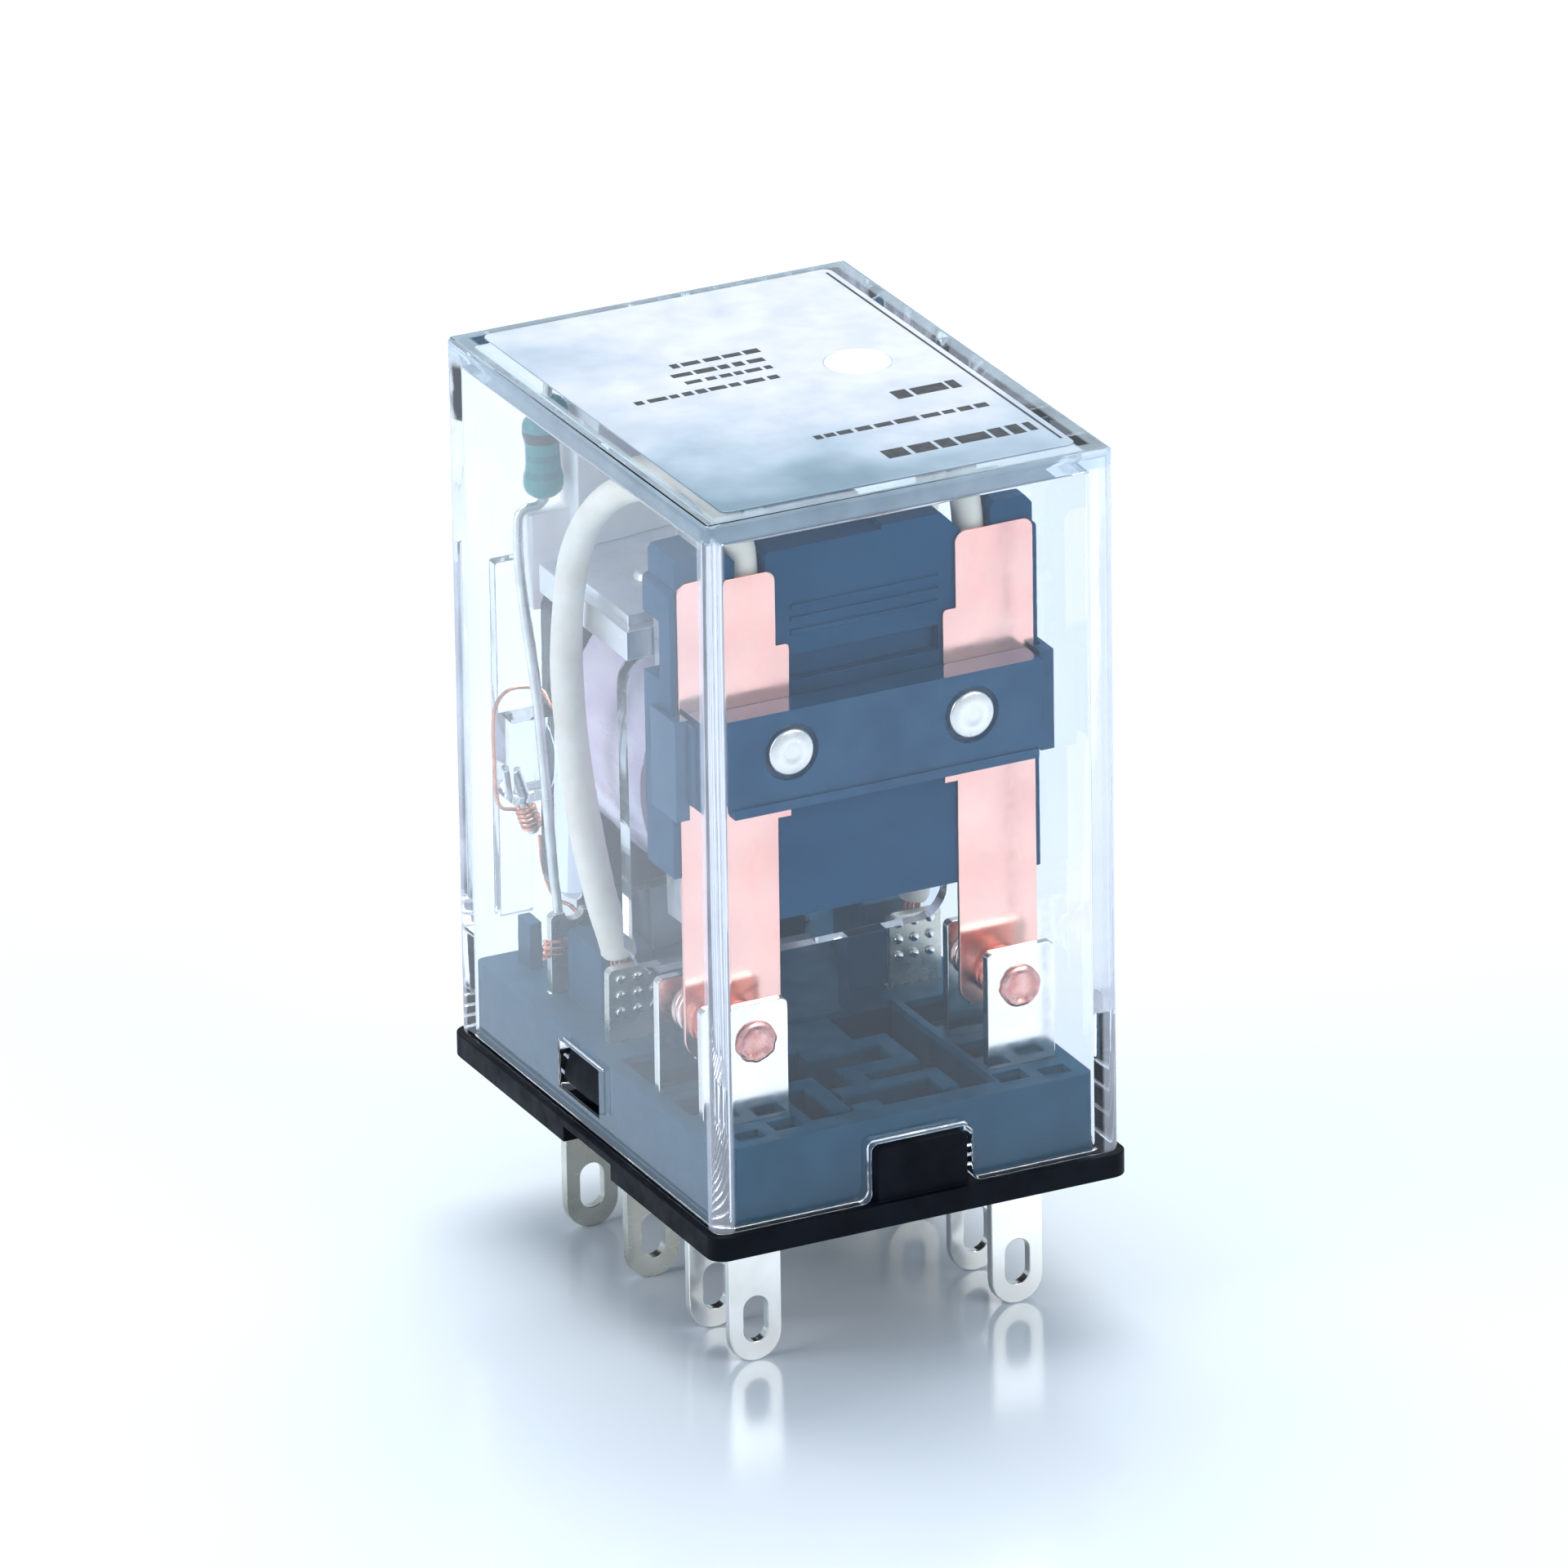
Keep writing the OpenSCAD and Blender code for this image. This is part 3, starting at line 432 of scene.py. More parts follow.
def finish_piece(name, mesh, look, body, replaces=(), angle=35):
    """Makes the mesh a shown piece: its finish, its body, and the CAD nodes it stands for."""
    mesh.materials.clear()
    mesh.materials.append(LOOK[look])
    mesh.shade_smooth()
    mesh.set_sharp_from_angle(angle=math.radians(angle))
    piece = bpy.data.objects.new(name, mesh)
    scene.collection.objects.link(piece)
    if body:
        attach(piece, body)
    if replaces:
        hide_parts(*replaces)
    return piece


def mesh_of(name, parts):
    """One mesh from a list of (points in millimetres, faces)."""
    points, faces = [], []
    for part_points, part_faces in parts:
        start = len(points)
        points += [Vector(p) * MM for p in part_points]
        faces += [[start + i for i in face] for face in part_faces]
    mesh = bpy.data.meshes.new(name)
    mesh.from_pydata(points, [], faces)
    mesh.update()
    return mesh


def rounded(node, look, radius, segments=2, angle=40):
    """A copy of a CAD node with its edges rounded to radius millimetres; it stands for the node."""
    mesh = frame["nodes"][node].data.copy()
    work = bmesh.new()
    work.from_mesh(mesh)
    bmesh.ops.remove_doubles(work, verts=work.verts, dist=0.002 * MM)
    bmesh.ops.dissolve_limit(work, angle_limit=math.radians(0.6), verts=work.verts, edges=work.edges)
    work.to_mesh(mesh)
    work.free()
    for layer in ("custom_normal", "sharp_edge", "sharp_face"):
        if layer in mesh.attributes:
            mesh.attributes.remove(mesh.attributes[layer])
    piece = finish_piece("shown_" + node, mesh, look, BODY_OF[node], [node], angle)
    bevel = piece.modifiers.new("edges", "BEVEL")
    bevel.width = radius * MM
    bevel.segments = segments
    bevel.limit_method = "ANGLE"
    bevel.angle_limit = math.radians(angle)
    bevel.harden_normals = True
    return piece


def arc(centre, radius, start, end, steps):
    """Points (radius, height) of an arc in a lathe profile, angles in degrees."""
    angles = [math.radians(start + (end - start) * i / steps) for i in range(steps + 1)]
    return [(centre[0] + radius * math.cos(a), centre[1] + radius * math.sin(a)) for a in angles]


def lathe(profile, foot, axis, steps=48, shift=None):
    """Turned shape: profile is (radius, height) pairs along axis from foot. shift moves a point outwards."""
    axis = Vector(axis).normalized()
    side = axis.orthogonal().normalized()
    other = axis.cross(side)
    points, faces = [], []
    for radius, height in profile:
        for k in range(steps):
            turn = 2 * math.pi * k / steps
            out = side * math.cos(turn) + other * math.sin(turn)
            reach = radius + (shift(turn, height) if shift and radius > 0 else 0)
            points.append(Vector(foot) + axis * height + out * reach)
    for i in range(len(profile) - 1):
        for k in range(steps):
            a, b = i * steps + k, i * steps + (k + 1) % steps
            faces.append((a, b, b + steps, a + steps))
    faces.append(tuple(reversed(range(steps))))
    faces.append(tuple(range(len(points) - steps, len(points))))
    return points, faces


def smooth_route(route, per_leg=6):
    """Catmull-Rom curve through the route's points."""
    route = [Vector(p) for p in route]
    ends = [2 * route[0] - route[1], *route, 2 * route[-1] - route[-2]]
    points = []
    for i in range(1, len(ends) - 2):
        p0, p1, p2, p3 = ends[i - 1:i + 3]
        for k in range(per_leg):
            t = k / per_leg
            points.append(0.5 * (2 * p1 + (p2 - p0) * t + (2 * p0 - 5 * p1 + 4 * p2 - p3) * t * t
                                 + (3 * p1 - p0 - 3 * p2 + p3) * t ** 3))
    return points + [route[-1]]


def tube(points, radius, sides=12, swell=None, dome=True):
    """Tube along the points with rounded ends. swell gives a radius factor at each share of the length."""
    points = [Vector(p) for p in points]
    count = len(points)
    along = (points[1] - points[0]).normalized()
    side = along.orthogonal().normalized()
    stations = []
    for i, point in enumerate(points):
        ahead = (points[min(i + 1, count - 1)] - points[max(i - 1, 0)]).normalized()
        side = (side - ahead * side.dot(ahead)).normalized()
        share = i / (count - 1)
        stations.append((point, ahead, side, radius * (swell(share) if swell else 1)))
    if dome:
        for end, sign in ((stations[0], -1), (stations[-1], 1)):
            caps = [(end[0] + sign * end[1] * end[3] * 0.35 * out, end[1], end[2], end[3] * inn)
                    for out, inn in ((0.7, 0.86), (1.0, 0.5))]
            stations = list(reversed(caps)) + stations if sign < 0 else stations + caps
    verts, faces = [], []
    for point, ahead, side, reach in stations:
        other = ahead.cross(side)
        for k in range(sides):
            turn = 2 * math.pi * k / sides
            verts.append(point + reach * (side * math.cos(turn) + other * math.sin(turn)))
    for i in range(len(stations) - 1):
        for k in range(sides):
            a, b = i * sides + k, i * sides + (k + 1) % sides
            faces.append((a, b, b + sides, a + sides))
    faces.append(tuple(reversed(range(sides))))
    faces.append(tuple(range(len(verts) - sides, len(verts))))
    return verts, faces


def block(low, high, radius, segments=2):
    """Box with rounded edges."""
    work = bmesh.new()
    bmesh.ops.create_cube(work, size=1.0)
    size = Vector(high) - Vector(low)
    middle = (Vector(high) + Vector(low)) / 2
    for vert in work.verts:
        vert.co = Vector(c * s for c, s in zip(vert.co, size)) + middle
    bmesh.ops.bevel(work, geom=work.edges[:], offset=radius, segments=segments, affect="EDGES", profile=0.5)
    points = [v.co.copy() for v in work.verts]
    faces = [[v.index for v in f.verts] for f in work.faces]
    work.free()
    return points, faces


def coil(centre, axis, radius, pitch, turns, per_turn=16, start=0.0):
    """Points of a helix about axis through centre."""
    axis = Vector(axis).normalized()
    side = axis.orthogonal().normalized()
    other = axis.cross(side)
    points = []
    for i in range(int(turns * per_turn) + 1):
        turn = start + 2 * math.pi * i / per_turn
        points.append(Vector(centre) + axis * pitch * i / per_turn
                      + radius * (side * math.cos(turn) + other * math.sin(turn)))
    return points


def blob(centre, size, lumps, seed):
    """A lumpy rounded drop, for solder. size is its half extents."""
    work = bmesh.new()
    bmesh.ops.create_icosphere(work, subdivisions=3, radius=1.0)
    for vert in work.verts:
        wave = noise.noise(vert.co * 1.6 + Vector((seed, 0, 0)))
        vert.co = Vector(c * s for c, s in zip(vert.co * (1 + lumps * wave), size)) + Vector(centre)
    points = [v.co.copy() for v in work.verts]
    faces = [[v.index for v in f.verts] for f in work.faces]
    work.free()
    return points, faces


def flipped(points):
    """The same points on the other side of the relay's middle plane."""
    return [Vector((-p[0], p[1], p[2])) for p in points]


def flipped_part(part):
    points, faces = part
    return flipped(points), [list(reversed(face)) for face in faces]


# ------------------------------------------------------------------ camera, floor and lights


def make_camera():
    azimuth, elevation, roll = math.radians(26.18), math.radians(22.7), math.radians(-0.9)
    distance_m, lens_mm = 0.8118, 413.2
    aim = Vector((0.38, 0.66, 15.83)) * MM
    ahead = Vector((math.sin(azimuth) * math.cos(elevation), math.cos(azimuth) * math.cos(elevation),
                    -math.sin(elevation)))
    data = bpy.data.cameras.new("camera")
    data.sensor_width = 36
    data.lens = lens_mm
    near_m, far_m = 0.05, 20
    data.clip_start, data.clip_end = near_m, far_m
    camera = bpy.data.objects.new("camera", data)
    scene.collection.objects.link(camera)
    turn = ahead.to_track_quat("-Z", "Y").to_matrix() @ Matrix.Rotation(roll, 3, "Z")
    camera.matrix_world = Matrix.Translation(aim - ahead * distance_m) @ turn.to_4x4()
    scene.camera = camera


def make_floor():
    """Glossy pale table top under the blades' tips."""
    low, _ = cad_box
    half_m = 3.0
    corners = [(x * half_m, y * half_m, low.z) for x, y in ((-1, -1), (1, -1), (1, 1), (-1, 1))]
    mesh = bpy.data.meshes.new("floor")
    mesh.from_pydata(corners, [], [(0, 1, 2, 3)])
    look = Looks("floor")
    stops = [(0.3, (0.80, 0.87, 0.95)), (0.7, (0.84, 0.90, 0.97))]
    look.link(look.ramp(look.noise(40.0), stops), look.shader.inputs["Base Color"])
    look.link(look.span(look.noise(9.0), 0.14, 0.2), look.shader.inputs["Roughness"])
    look.sockets(Specular_IOR_Level=0.35)
    mesh.materials.append(look.material)
    floor = bpy.data.objects.new("floor", mesh)
    scene.collection.objects.link(floor)


def area_light(name, place, aim, size, watts, colour):
    """Rectangular lamp at place that faces aim. place, aim and size are in metres."""
    data = bpy.data.lights.new(name, "AREA")
    data.shape = "RECTANGLE"
    data.size, data.size_y = size
    data.energy = watts
    data.color = colour
    light = bpy.data.objects.new(name, data)
    light.location = place
    light.rotation_mode = "QUATERNION"
    light.rotation_quaternion = (Vector(aim) - Vector(place)).to_track_quat("-Z", "Y")
    scene.collection.objects.link(light)


def make_lights():
    world = bpy.data.worlds.new("studio")
    world.use_nodes = True
    back = world.node_tree.nodes["Background"]
    back.inputs["Color"].default_value = (0.75, 0.88, 1.0, 1)
    back.inputs["Strength"].default_value = 0.62
    scene.world = world
    aim = (0, 0, 0.015)
    area_light("overhead", (0.12, 0.35, 0.75), aim, (0.7, 0.5), 6.0, (1.0, 0.985, 0.96))
    area_light("left", (-0.75, 0.05, 0.35), aim, (0.4, 0.6), 2.2, (0.95, 0.96, 1.0))
    area_light("front", (0.35, -0.75, 0.45), aim, (0.5, 0.35), 1.8, (1.0, 0.99, 0.97))


scene.view_settings.view_transform = "Standard"
# light runs a long way inside the clear walls before it leaves them
scene.cycles.max_bounces = 24
scene.cycles.glossy_bounces = 20
scene.cycles.transmission_bounces = 20
make_camera()
make_floor()
make_lights()


# ------------------------------------------------------------------ housing

rounded("base", "black_plastic", 0.1)
rounded("cover", "clear_cover", 0.12, angle=50)
rounded("label", "label_film", 0.03, segments=1)


def label_print():
    """Generic marks in place of the printing: rows of dashes, some bold, and a line along one edge."""
    low, high = node_box("label")
    ink, rounding, shortest = 0.012, 0.004, 0.15
    rows = [  # first and last X of the row, its Y, the height of its marks
        (0.6, 8.0, -9.5, 1.1), (-1.2, 7.4, -6.2, 0.5), (4.2, 7.4, -3.3, 1.0),
        (-6.4, 1.0, 1.3, 0.5), (-3.3, 1.0, 2.5, 0.45), (-3.5, 1.2, 3.5, 0.5), (-3.0, 1.4, 4.6, 0.5),
    ]
    parts = []
    for x0, x1, y, height in rows:
        x = x0
        while x < x1 - shortest:
            width = min(rng.uniform(0.35, 1.1) * (0.5 + height), x1 - x)
            lift = rng.uniform(0.75, 1.0) * height / 2
            parts.append(block((x, y - lift, high.z), (x + width, y + lift, high.z + ink), rounding, 1))
            x += width + rng.uniform(0.14, 0.24)
    line_low = (high.x - 0.42, low.y + 0.8, high.z)
    line_high = (high.x - 0.3, high.y - 0.5, high.z + ink)
    parts.append(block(line_low, line_high, rounding, 1))
    finish_piece("label_marks", mesh_of("label_marks", parts), "label_ink", "frame")


def lamp_window():
    """Milky disc in the label's round opening: it spreads the lamp's light."""
    low, high = node_box("label")
    centre_x, centre_y, radius, chamfer = 4.65, 1.2, 1.53, 0.02
    height = high.z - low.z
    profile = [(radius - chamfer, 0.0), (radius, chamfer), (radius, height - chamfer)]
    profile += [(radius - chamfer, height), (radius * 0.3, height + 0.01)]
    disc = lathe(profile, (centre_x, centre_y, low.z), (0, 0, 1))
    finish_piece("lamp_window", mesh_of("lamp_window", [disc]), "white_plastic", "frame")


label_print()
lamp_window()


# ------------------------------------------------------------------ terminals and contacts

for side in ("left", "right"):
    for kind in ("nc", "no"):
        rounded(f"{kind}_terminal_{side}", "plate_metal", 0.06)
    rounded(f"coil_terminal_{side}", "blade_metal", 0.06)
    rounded(f"common_terminal_{side}", "blade_metal", 0.02, segments=1)


def tab_dimples():
    """Pressed points, three by three, on each common terminal's solder tab, in the paler plate finish as a
    painted highlight.
    """
    pitch, middle_z, radius, rise = 0.8, 7.2, 0.23, 0.09
    profile = [(radius, -0.04), (radius, 0.0), (radius * 0.86, rise * 0.6), (radius * 0.4, rise)]
    parts = []
    for side in ("left", "right"):
        low, high = node_box(f"common_terminal_{side}")
        middle_x = (low.x + high.x) / 2
        for i in (-1, 0, 1):
            for k in (-1, 0, 1):
                foot = (middle_x + i * pitch, low.y + 0.03, middle_z + k * pitch)
                parts.append(lathe(profile, foot, (0, -1, 0), 16))
    # the plate finish is paler than the tab's own blade finish: a painted highlight on the points
    finish_piece("tab_dimples", mesh_of("tab_dimples", parts), "plate_metal", "frame")


tab_dimples()


def contact_head(foot, axis, radius, height):
    """Domed contact head with a soft rim."""
    rim = 0.16
    profile = [(radius * 0.96, 0.0), (radius, rim * 0.5)]
    profile += arc((radius - rim, height - 2 * rim), rim, 0, 70, 4)
    profile += [(radius * 0.55, height - rim * 0.45), (radius * 0.2, height - rim * 0.3)]
    return lathe(profile, foot, axis)


def rivet_tail(foot, axis, seed):
    """Hammered end of a contact rivet: a rolled, uneven rim round a dimple."""
    def ragged(turn, height):
        return 0.07 * noise.noise(Vector((3 * math.cos(turn), 3 * math.sin(turn), seed + height)))
    profile = [(0.86, 0.0), (0.98, 0.07), (0.96, 0.16), (0.85, 0.22), (0.74, 0.2), (0.62, 0.13), (0.3, 0.15)]
    return lathe(profile, foot, axis, shift=ragged)


def fixed_contacts():
    """Contact rivets of the fixed plates; each head faces its spring."""
    for node, facing in (("nc_contacts", 1), ("no_contacts", -1)):
        plate_low, plate_high = node_box(node.replace("contacts", "terminal_right"))
        low, high = node_box(node)
        head_y = plate_high.y if facing > 0 else plate_low.y
        tail_y = plate_low.y if facing > 0 else plate_high.y
        reach = high.y - head_y if facing > 0 else head_y - low.y
        radius = (high.z - low.z) / 2
        centre_x, centre_z = high.x - radius, (low.z + high.z) / 2
        heads, tails = [], []
        for sign in (-1, 1):
            heads.append(contact_head((sign * centre_x, head_y, centre_z), (0, facing, 0), radius, reach))
            seed = sign * 5.0 + facing
            tails.append(rivet_tail((sign * centre_x, tail_y, centre_z), (0, -facing, 0), seed))
        finish_piece(node + "_heads", mesh_of(node, heads), "contact_face", "frame", [node])
        finish_piece(node + "_tails", mesh_of(node, tails), "contact_metal", "frame")


def spring_contacts():
    """Double contacts riveted through the moving springs."""
    low, high = node_box("moving_contacts")
    spring_low, spring_high = node_box("contact_spring_right")
    radius = (high.z - low.z) / 2
    centre_x, centre_z = high.x - radius, (low.z + high.z) / 2
    parts = []
    for sign in (-1, 1):
        for foot_y, end_y, facing in ((spring_low.y, low.y, -1), (spring_high.y, high.y, 1)):
            parts.append(contact_head((sign * centre_x, foot_y, centre_z), (0, facing, 0), radius,
                                      abs(end_y - foot_y)))
    finish_piece("moving_contact_heads", mesh_of("moving_contacts", parts), "contact_metal", "armature",
                 ["moving_contacts"])


fixed_contacts()
spring_contacts()


# ------------------------------------------------------------------ magnet

rounded("yoke", "yoke_steel", 0.22, segments=3)
rounded("core", "yoke_steel", 0.08)
rounded("shading_ring", "copper", 0.05)
rounded("bobbin", "clear_former", 0.12)
rounded("spring_anchor_plate", "yoke_steel", 0.1)
rounded("anchor_rivets", "rivet_metal", 0.1)
rounded("armature_plate", "armature_steel", 0.12)
rounded("winding_pins", "tinned_wire", 0.06)


def coil_winding():
    """Copper layers: fine turns show as ripples along the coil."""
    low, high = node_box("coil_winding")
    radius, length = (high.z - low.z) / 2, high.y - low.y
    wire_pitch, inner_radius, ripple = 0.2, 3.4, 0.03
    quarters = int(length / wire_pitch) * 4
    profile = [(inner_radius, 0.0)]
    for i in range(quarters + 1):
        profile.append((radius - ripple + ripple * math.cos(math.pi * i / 2), length * i / quarters))
    profile.append((inner_radius, length))
    foot = (0, low.y, (low.z + high.z) / 2)
    finish_piece("winding_turns", mesh_of("winding_turns", [lathe(profile, foot, (0, 1, 0), 64)]),
                 "copper", "frame", ["coil_winding"])


def coil_tape():
    """Tape round the coil, a little slack, with the step where its end overlaps."""
    low, high = node_box("coil_tape")
    radius, length = (high.z - low.z) / 2, high.y - low.y
    foot = (0, low.y, (low.z + high.z) / 2)

    def slack(turn, height):
        wave = noise.noise(Vector((2 * math.cos(turn), 2 * math.sin(turn), height * 0.5)))
        return 0.07 * wave - 0.09 + 0.08 * ((turn / (2 * math.pi) + 0.35) % 1.0)

    steps, inner_radius = 14, radius - 0.28
    profile = [(inner_radius, 0.0)]
    profile += [(radius, 0.02 + (length - 0.04) * i / steps) for i in range(steps + 1)]
    profile += [(inner_radius, length)]
    finish_piece("tape_wrap", mesh_of("tape_wrap", [lathe(profile, foot, (0, 1, 0), 96, slack)]),
                 "coil_tape", "frame", ["coil_tape"])


coil_winding()
coil_tape()


# ------------------------------------------------------------------ armature group

rounded("contact_carrier", "slate_plastic", 0.09)
rounded("clamp_bar", "bar_plastic", 0.11)
for side in ("left", "right"):
    rounded(f"contact_spring_{side}", "spring_copper", 0.04)


def clamp_rivets():
    """Spun rivet heads: flat crown, soft shoulder, scuffed middle."""
    low, high = node_box("clamp_rivets")
    radius = (high.z - low.z) / 2
    centre_x, centre_z = high.x - radius, (low.z + high.z) / 2
    head_height, shank_radius, shoulder = 0.5, 0.5, 0.16
    seat = low.y + head_height
    parts = []
    for sign in (-1, 1):
        def scuffed(turn, height, sign=sign):
            return 0.01 * noise.noise(Vector((2 * math.cos(turn), 2 * math.sin(turn), height * 3 + sign)))
        profile = [(shank_radius, seat - high.y), (shank_radius, 0.0), (radius, 0.0), (radius, 0.22)]
        profile += arc((radius - shoulder, 0.24), shoulder, 0, 75, 5)
        profile += [(radius * 0.7, 0.44), (radius * 0.45, 0.48), (radius * 0.36, 0.44), (radius * 0.15, 0.45)]
        parts.append(lathe(profile, (sign * centre_x, seat, centre_z), (0, -1, 0), shift=scuffed))
    finish_piece("rivet_heads", mesh_of("rivet_heads", parts), "rivet_metal", "armature",
                 ["clamp_rivets"])


clamp_rivets()


# ------------------------------------------------------------------ springs, leads and wires

LEAD_ROUTE = [
    (5.65, -7.15, 29.2), (5.65, -7.1, 30.6), (5.7, -6.6, 31.9), (6.1, -5.5, 32.8),
    (6.8, -3.8, 33.2), (7.6, -1.6, 32.6), (8.2, 0.5, 30.9), (8.4, 2.2, 28.4),
    (8.4, 3.2, 25.4), (8.4, 3.5, 22.0), (8.3, 3.2, 18.4), (8.1, 2.5, 14.6),
    (7.7, 1.9, 11.4), (7.1, 1.85, 9.2), (6.9, 1.85, 7.4),
]
RESISTOR_LOWER = [
    (-6.45, 10.0, 27.9), (-6.45, 10.0, 27.75), (-6.8, 10.0, 27.48), (-7.45, 10.0, 27.42),
    (-7.78, 9.95, 26.8), (-7.8, 9.7, 24.0), (-7.6, 8.7, 19.0), (-7.4, 8.2, 14.4),
    (-7.2, 7.95, 10.6), (-7.1, 7.72, 8.6), (-7.1, 7.7, 6.6),
]
RESISTOR_UPPER = [
    (-6.45, 10.0, 31.9), (-6.45, 10.0, 32.1), (-6.4, 10.0, 32.6), (-6.1, 9.8, 33.0),
    (-4.5, 9.0, 33.2), (-1.0, 6.6, 32.7), (1.6, 3.8, 32.3), (2.4, 2.3, 32.05), (2.85, 1.3, 31.95),
]
LAMP_LEAD = [
    (6.4, 1.2, 31.95), (6.4, 2.4, 32.0), (6.35, 5.0, 32.1), (6.8, 8.0, 32.2), (7.4, 9.6, 31.4),
    (7.75, 9.9, 29.0), (7.8, 9.7, 24.0), (7.6, 8.7, 19.0), (7.4, 8.2, 14.4),
    (7.2, 7.95, 10.6), (7.1, 7.72, 8.6), (7.1, 7.7, 6.6),
]
WIRE_UPPER = [
    (6.9, 7.2, 18.0), (7.18, 8.1, 18.45), (7.18, 9.3, 18.9), (8.2, 10.1, 18.8),
    (8.8, 10.3, 17.8), (8.85, 10.3, 15.4), (8.75, 10.2, 13.3), (8.0, 10.2, 12.85),
]
WIRE_LOWER = [
    (7.0, 9.76, 11.5), (6.9, 9.8, 10.2), (6.6, 9.75, 8.9), (6.3, 9.4, 8.35),
    (6.1, 8.6, 8.3), (6.05, 7.6, 8.0),
]


def flexible_leads():
    """Cream sleeves that bend between the springs and the common terminals, with bare strands at the ends."""
    for side, mirrored in (("left", True), ("right", False)):
        route = smooth_route(LEAD_ROUTE, 5)
        sleeve = tube(route[3:-4], 0.7, 16, swell=lambda s: 1 + 0.02 * math.sin(40 * s))
        strands = []
        for k in range(9):
            turn = 2 * math.pi * k / 9
            spread = Vector((0.3 * math.cos(turn), 0.3 * math.sin(turn), 0))
            fray = Vector((rng.uniform(-0.35, 0.35), rng.uniform(-0.2, 0.1), rng.uniform(-0.3, 0.5)))
            top = [route[4] + spread, route[1] + spread * 1.1, route[0] + spread + fray * 0.3,
                   route[0] + spread * 1.3 + fray + Vector((0, 0, -0.5))]
            strands.append(tube(smooth_route(top, 3), 0.055, 6))
            foot = [route[-6] + spread, route[-3] + spread * 1.1, route[-1] + spread * 0.8]
            strands.append(tube(smooth_route(foot, 3), 0.055, 6))
        for part_name, parts, look, slot in (
                ("sleeve", [sleeve], "lead_sleeve", "lead_sleeve"), ("strands", strands, "copper", "copper")):
            if mirrored:
                parts = [flipped_part(p) for p in parts]
            name = f"lead_{part_name}_{side}"
            replaced = [f"flexible_lead_{side}"] if part_name == "sleeve" else []
            piece = finish_piece(name, mesh_of(name, parts), look, None, replaced)
            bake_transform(piece)


def return_spring():
    """Tension coil with a hook at each end, stretched between the armature's tongue and the anchor lug."""
    front, back = Vector((0, -0.2, 29.9)), Vector((0, 5.6, 28.1))
    axis = (back - front).normalized()
    up = Vector((0, -axis.z, axis.y))
    turns, per_turn, radius, wire_radius = 9, 16, 0.85, 0.16
    body = []
    for i in range(turns * per_turn + 1):
        turn = 2 * math.pi * i / per_turn
        body.append(front + (back - front) * i / (turns * per_turn)
                    + radius * (math.sin(turn) * Vector((1, 0, 0)) + math.cos(turn) * up))
    hooks_front = [(0, -1.6, 30.0), (0, -1.0, 30.1), tuple(front + 0.2 * radius * up)]
    hooks_back = [(0, 5.9, 28.15), (0, 6.25, 28.05), (0, 6.5, 28.0)]
    route = smooth_route(hooks_front + [tuple(body[0])], 4)[:-1] + body
    route += smooth_route([tuple(body[-1])] + hooks_back, 4)[1:]
    wire = tube(route, wire_radius, 10)
    piece = finish_piece("spring_coil", mesh_of("spring_coil", [wire]), "spring_steel", None,
                         ["return_spring"])
    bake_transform(piece)


def component_leads():
    """Bare leads of the resistor and the lamp."""
    radius = 0.22
    lower = tube(smooth_route(RESISTOR_LOWER), radius, 12)
    upper = tube(smooth_route(RESISTOR_UPPER), radius, 12)
    finish_piece("resistor_wires", mesh_of("resistor_wires", [lower, upper]), "tinned_wire", "frame",
                 ["resistor_leads"])
    to_lamp = tube(smooth_route(LAMP_LEAD), radius, 12)
    finish_piece("lamp_wire", mesh_of("lamp_wire", [to_lamp]), "tinned_wire", "frame",
                 ["lamp_lead"])


def winding_ends():
    """Fine copper wires from the coil to the pins and on to the coil terminals, wrapped at each end."""
    radius, lean_angle = 0.09, math.radians(18)
    lean = Vector((math.sin(lean_angle), 0, math.cos(lean_angle)))
    pin_foot = Vector((7.1, 10.2, 11.6))
    wraps, per_turn, wrap_pitch, wrap_foot = 3, 16, 0.3, 6.6
    parts = []
    for route in (WIRE_UPPER, WIRE_LOWER):
        parts.append(tube(smooth_route(route, 5), radius, 8))
    round_pin = coil(pin_foot + lean * 0.2, lean, radius=0.42, pitch=0.24, turns=5)
    parts.append(tube(round_pin, radius, 8))
    low, high = node_box("coil_terminal_right")
    half_width, half_depth = (high.x - low.x) / 2 + 0.14, 0.42
    middle = Vector(((high.x + low.x) / 2, (low.y + high.y) / 2, 0))
    round_terminal = []
    for i in range(wraps * per_turn + 1):
        turn = 2 * math.pi * i / per_turn
        height = wrap_foot + wrap_pitch * i / per_turn
        out = (half_width * math.cos(turn), half_depth * math.sin(turn), height)
        round_terminal.append(middle + Vector(out))
    parts.append(tube(round_terminal, radius, 8))
    parts += [flipped_part(p) for p in parts]
    finish_piece("winding_wires", mesh_of("winding_wires", parts), "copper", "frame",
                 ["winding_end_wires"])


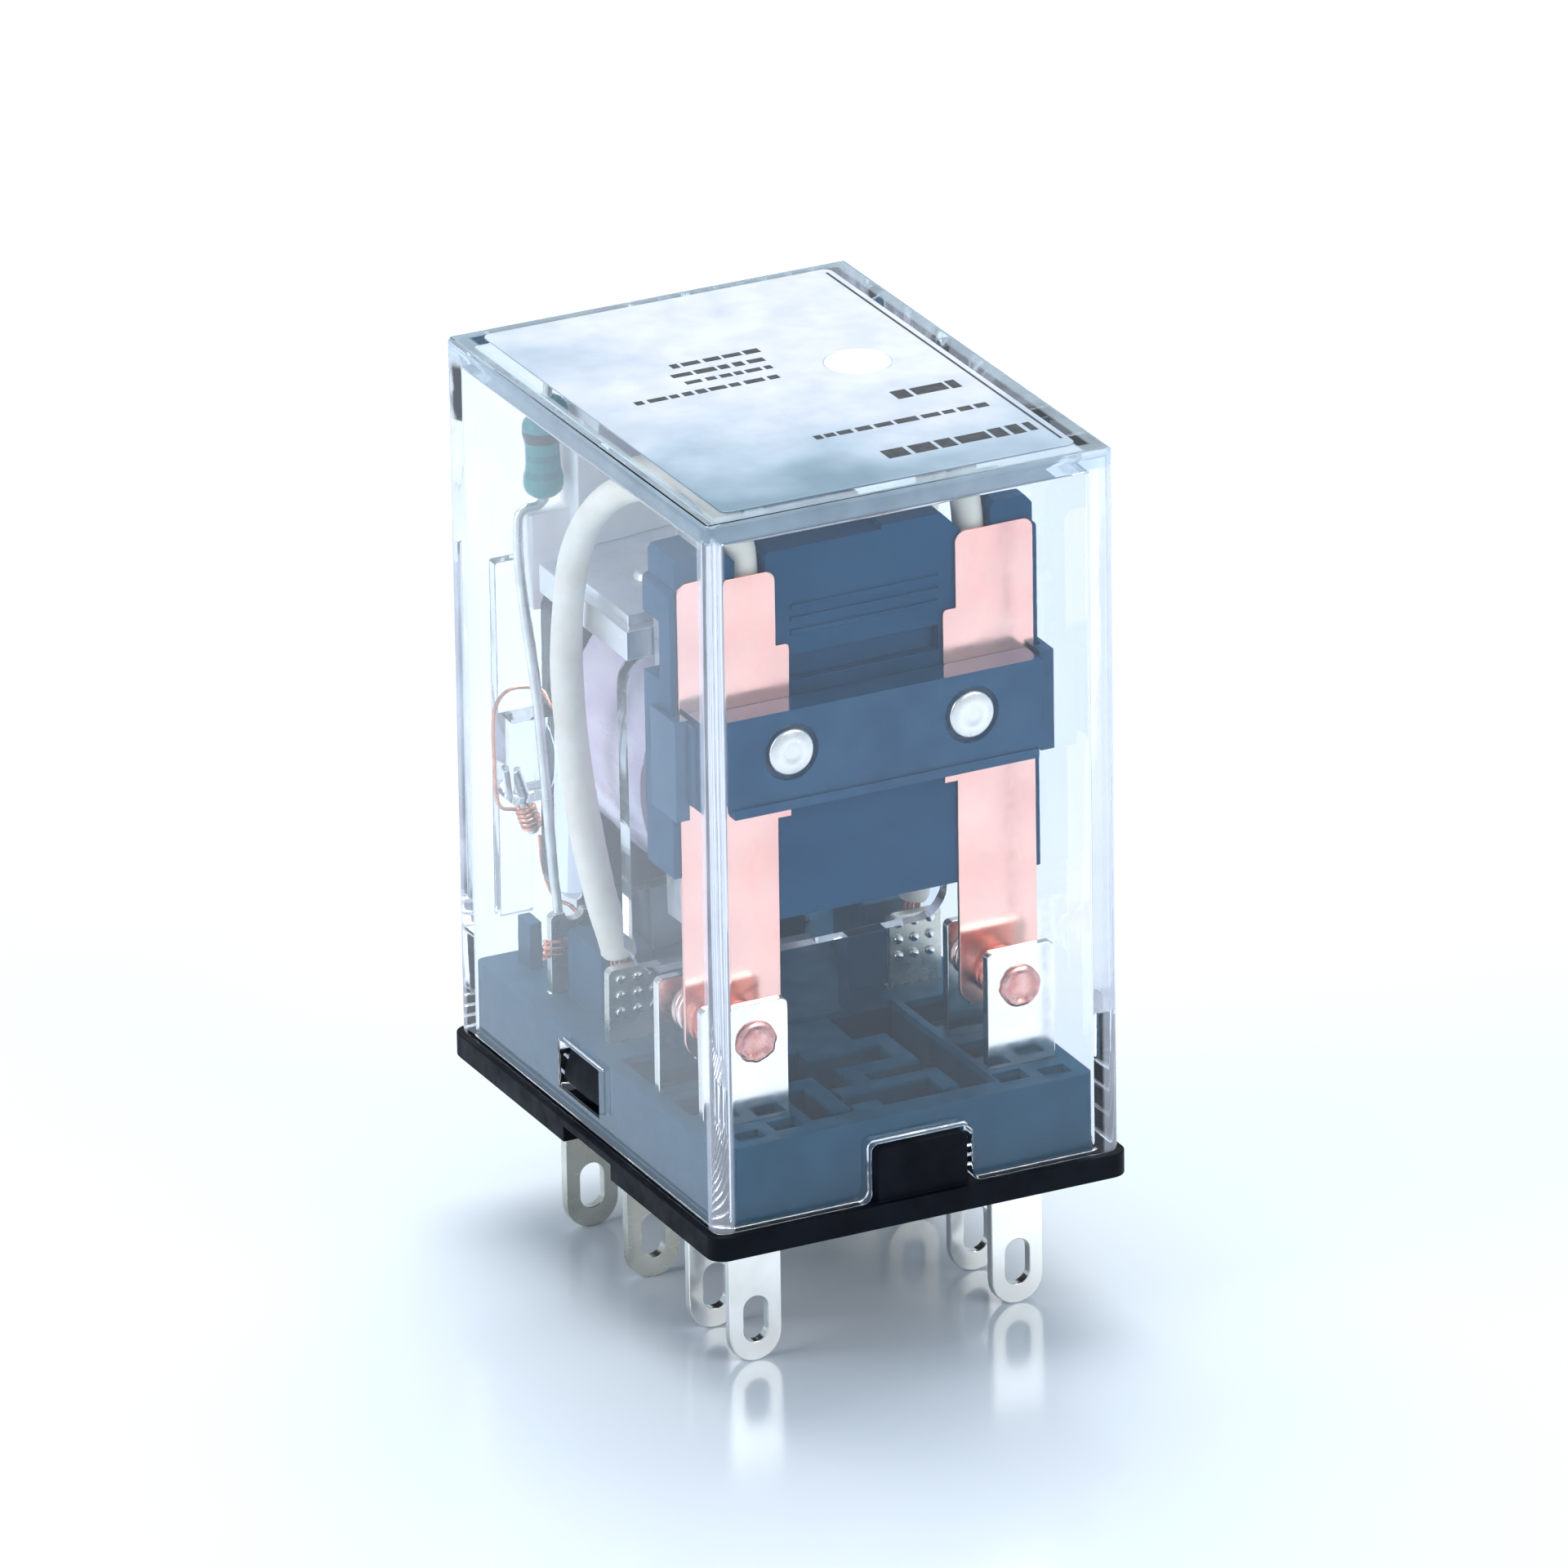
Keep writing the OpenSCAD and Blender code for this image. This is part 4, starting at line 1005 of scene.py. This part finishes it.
def solder_joints():
    """Solder where leads meet the common and coil terminals."""
    drops = [  # middle, half extents, seed of the lumps
        ((6.9, 1.8, 7.7), (0.55, 0.4, 0.5), 1.0),
        ((7.05, 7.65, 7.0), (0.45, 0.32, 0.5), 4.0),
    ]
    parts = []
    for centre, size, seed in drops:
        drop = blob(centre, size, 0.12, seed)
        parts += [drop, flipped_part(drop)]
    finish_piece("solder_joints", mesh_of("solder_joints", parts), "solder", "frame")


flexible_leads()
return_spring()
component_leads()
winding_ends()
solder_joints()


# ------------------------------------------------------------------ indicator

rounded("indicator_holder", "white_plastic", 0.2, segments=3)


def resistor_body():
    """Dumbbell body: swollen ends, slimmer middle."""
    low, high = node_box("resistor_body")
    length, radius = high.z - low.z, (high.x - low.x) / 2
    waist = radius * 0.86
    half = [(0.3, 0.0), (radius * 0.62, 0.06)]
    half += [(radius * (0.62 + 0.38 * math.sin(math.pi * t / 2)), 0.06 + 0.5 * t) for t in (0.3, 0.6, 1.0)]
    half += [(radius, length * 0.22), (radius * 0.95, length * 0.28), (waist, length * 0.34)]
    profile = half + [(waist, length * 0.5)] + [(r, length - h) for r, h in reversed(half)]
    foot = ((low.x + high.x) / 2, (low.y + high.y) / 2, low.z)
    piece = finish_piece("resistor_lacquer", mesh_of("resistor_lacquer", [lathe(profile, foot, (0, 0, 1))]),
                         "resistor_enamel", "frame", ["resistor_body"], angle=60)
    piece.modifiers.new("smooth", "SUBSURF").render_levels = 1


def lamp():
    """Moulded lamp: flange, straight barrel and a domed top."""
    low, high = node_box("indicator_lamp")
    flange = (high.x - low.x) / 2
    barrel = flange - 0.25
    height = high.z - low.z
    profile = [(flange - 0.05, 0.0), (flange, 0.05), (flange, 0.42), (flange - 0.06, 0.5), (barrel, 0.52)]
    dome = height - 0.55
    profile += [(barrel * math.cos(a), 0.55 + (dome - 0.02) * math.sin(a))
                for a in (math.radians(d) for d in (0, 15, 30, 45, 60, 75, 86))]
    foot = ((low.x + high.x) / 2, (low.y + high.y) / 2, low.z)
    finish_piece("lamp_dome", mesh_of("lamp_dome", [lathe(profile, foot, (0, 0, 1))]), "lamp_red", "frame",
                 ["indicator_lamp"], angle=50)


resistor_body()
lamp()
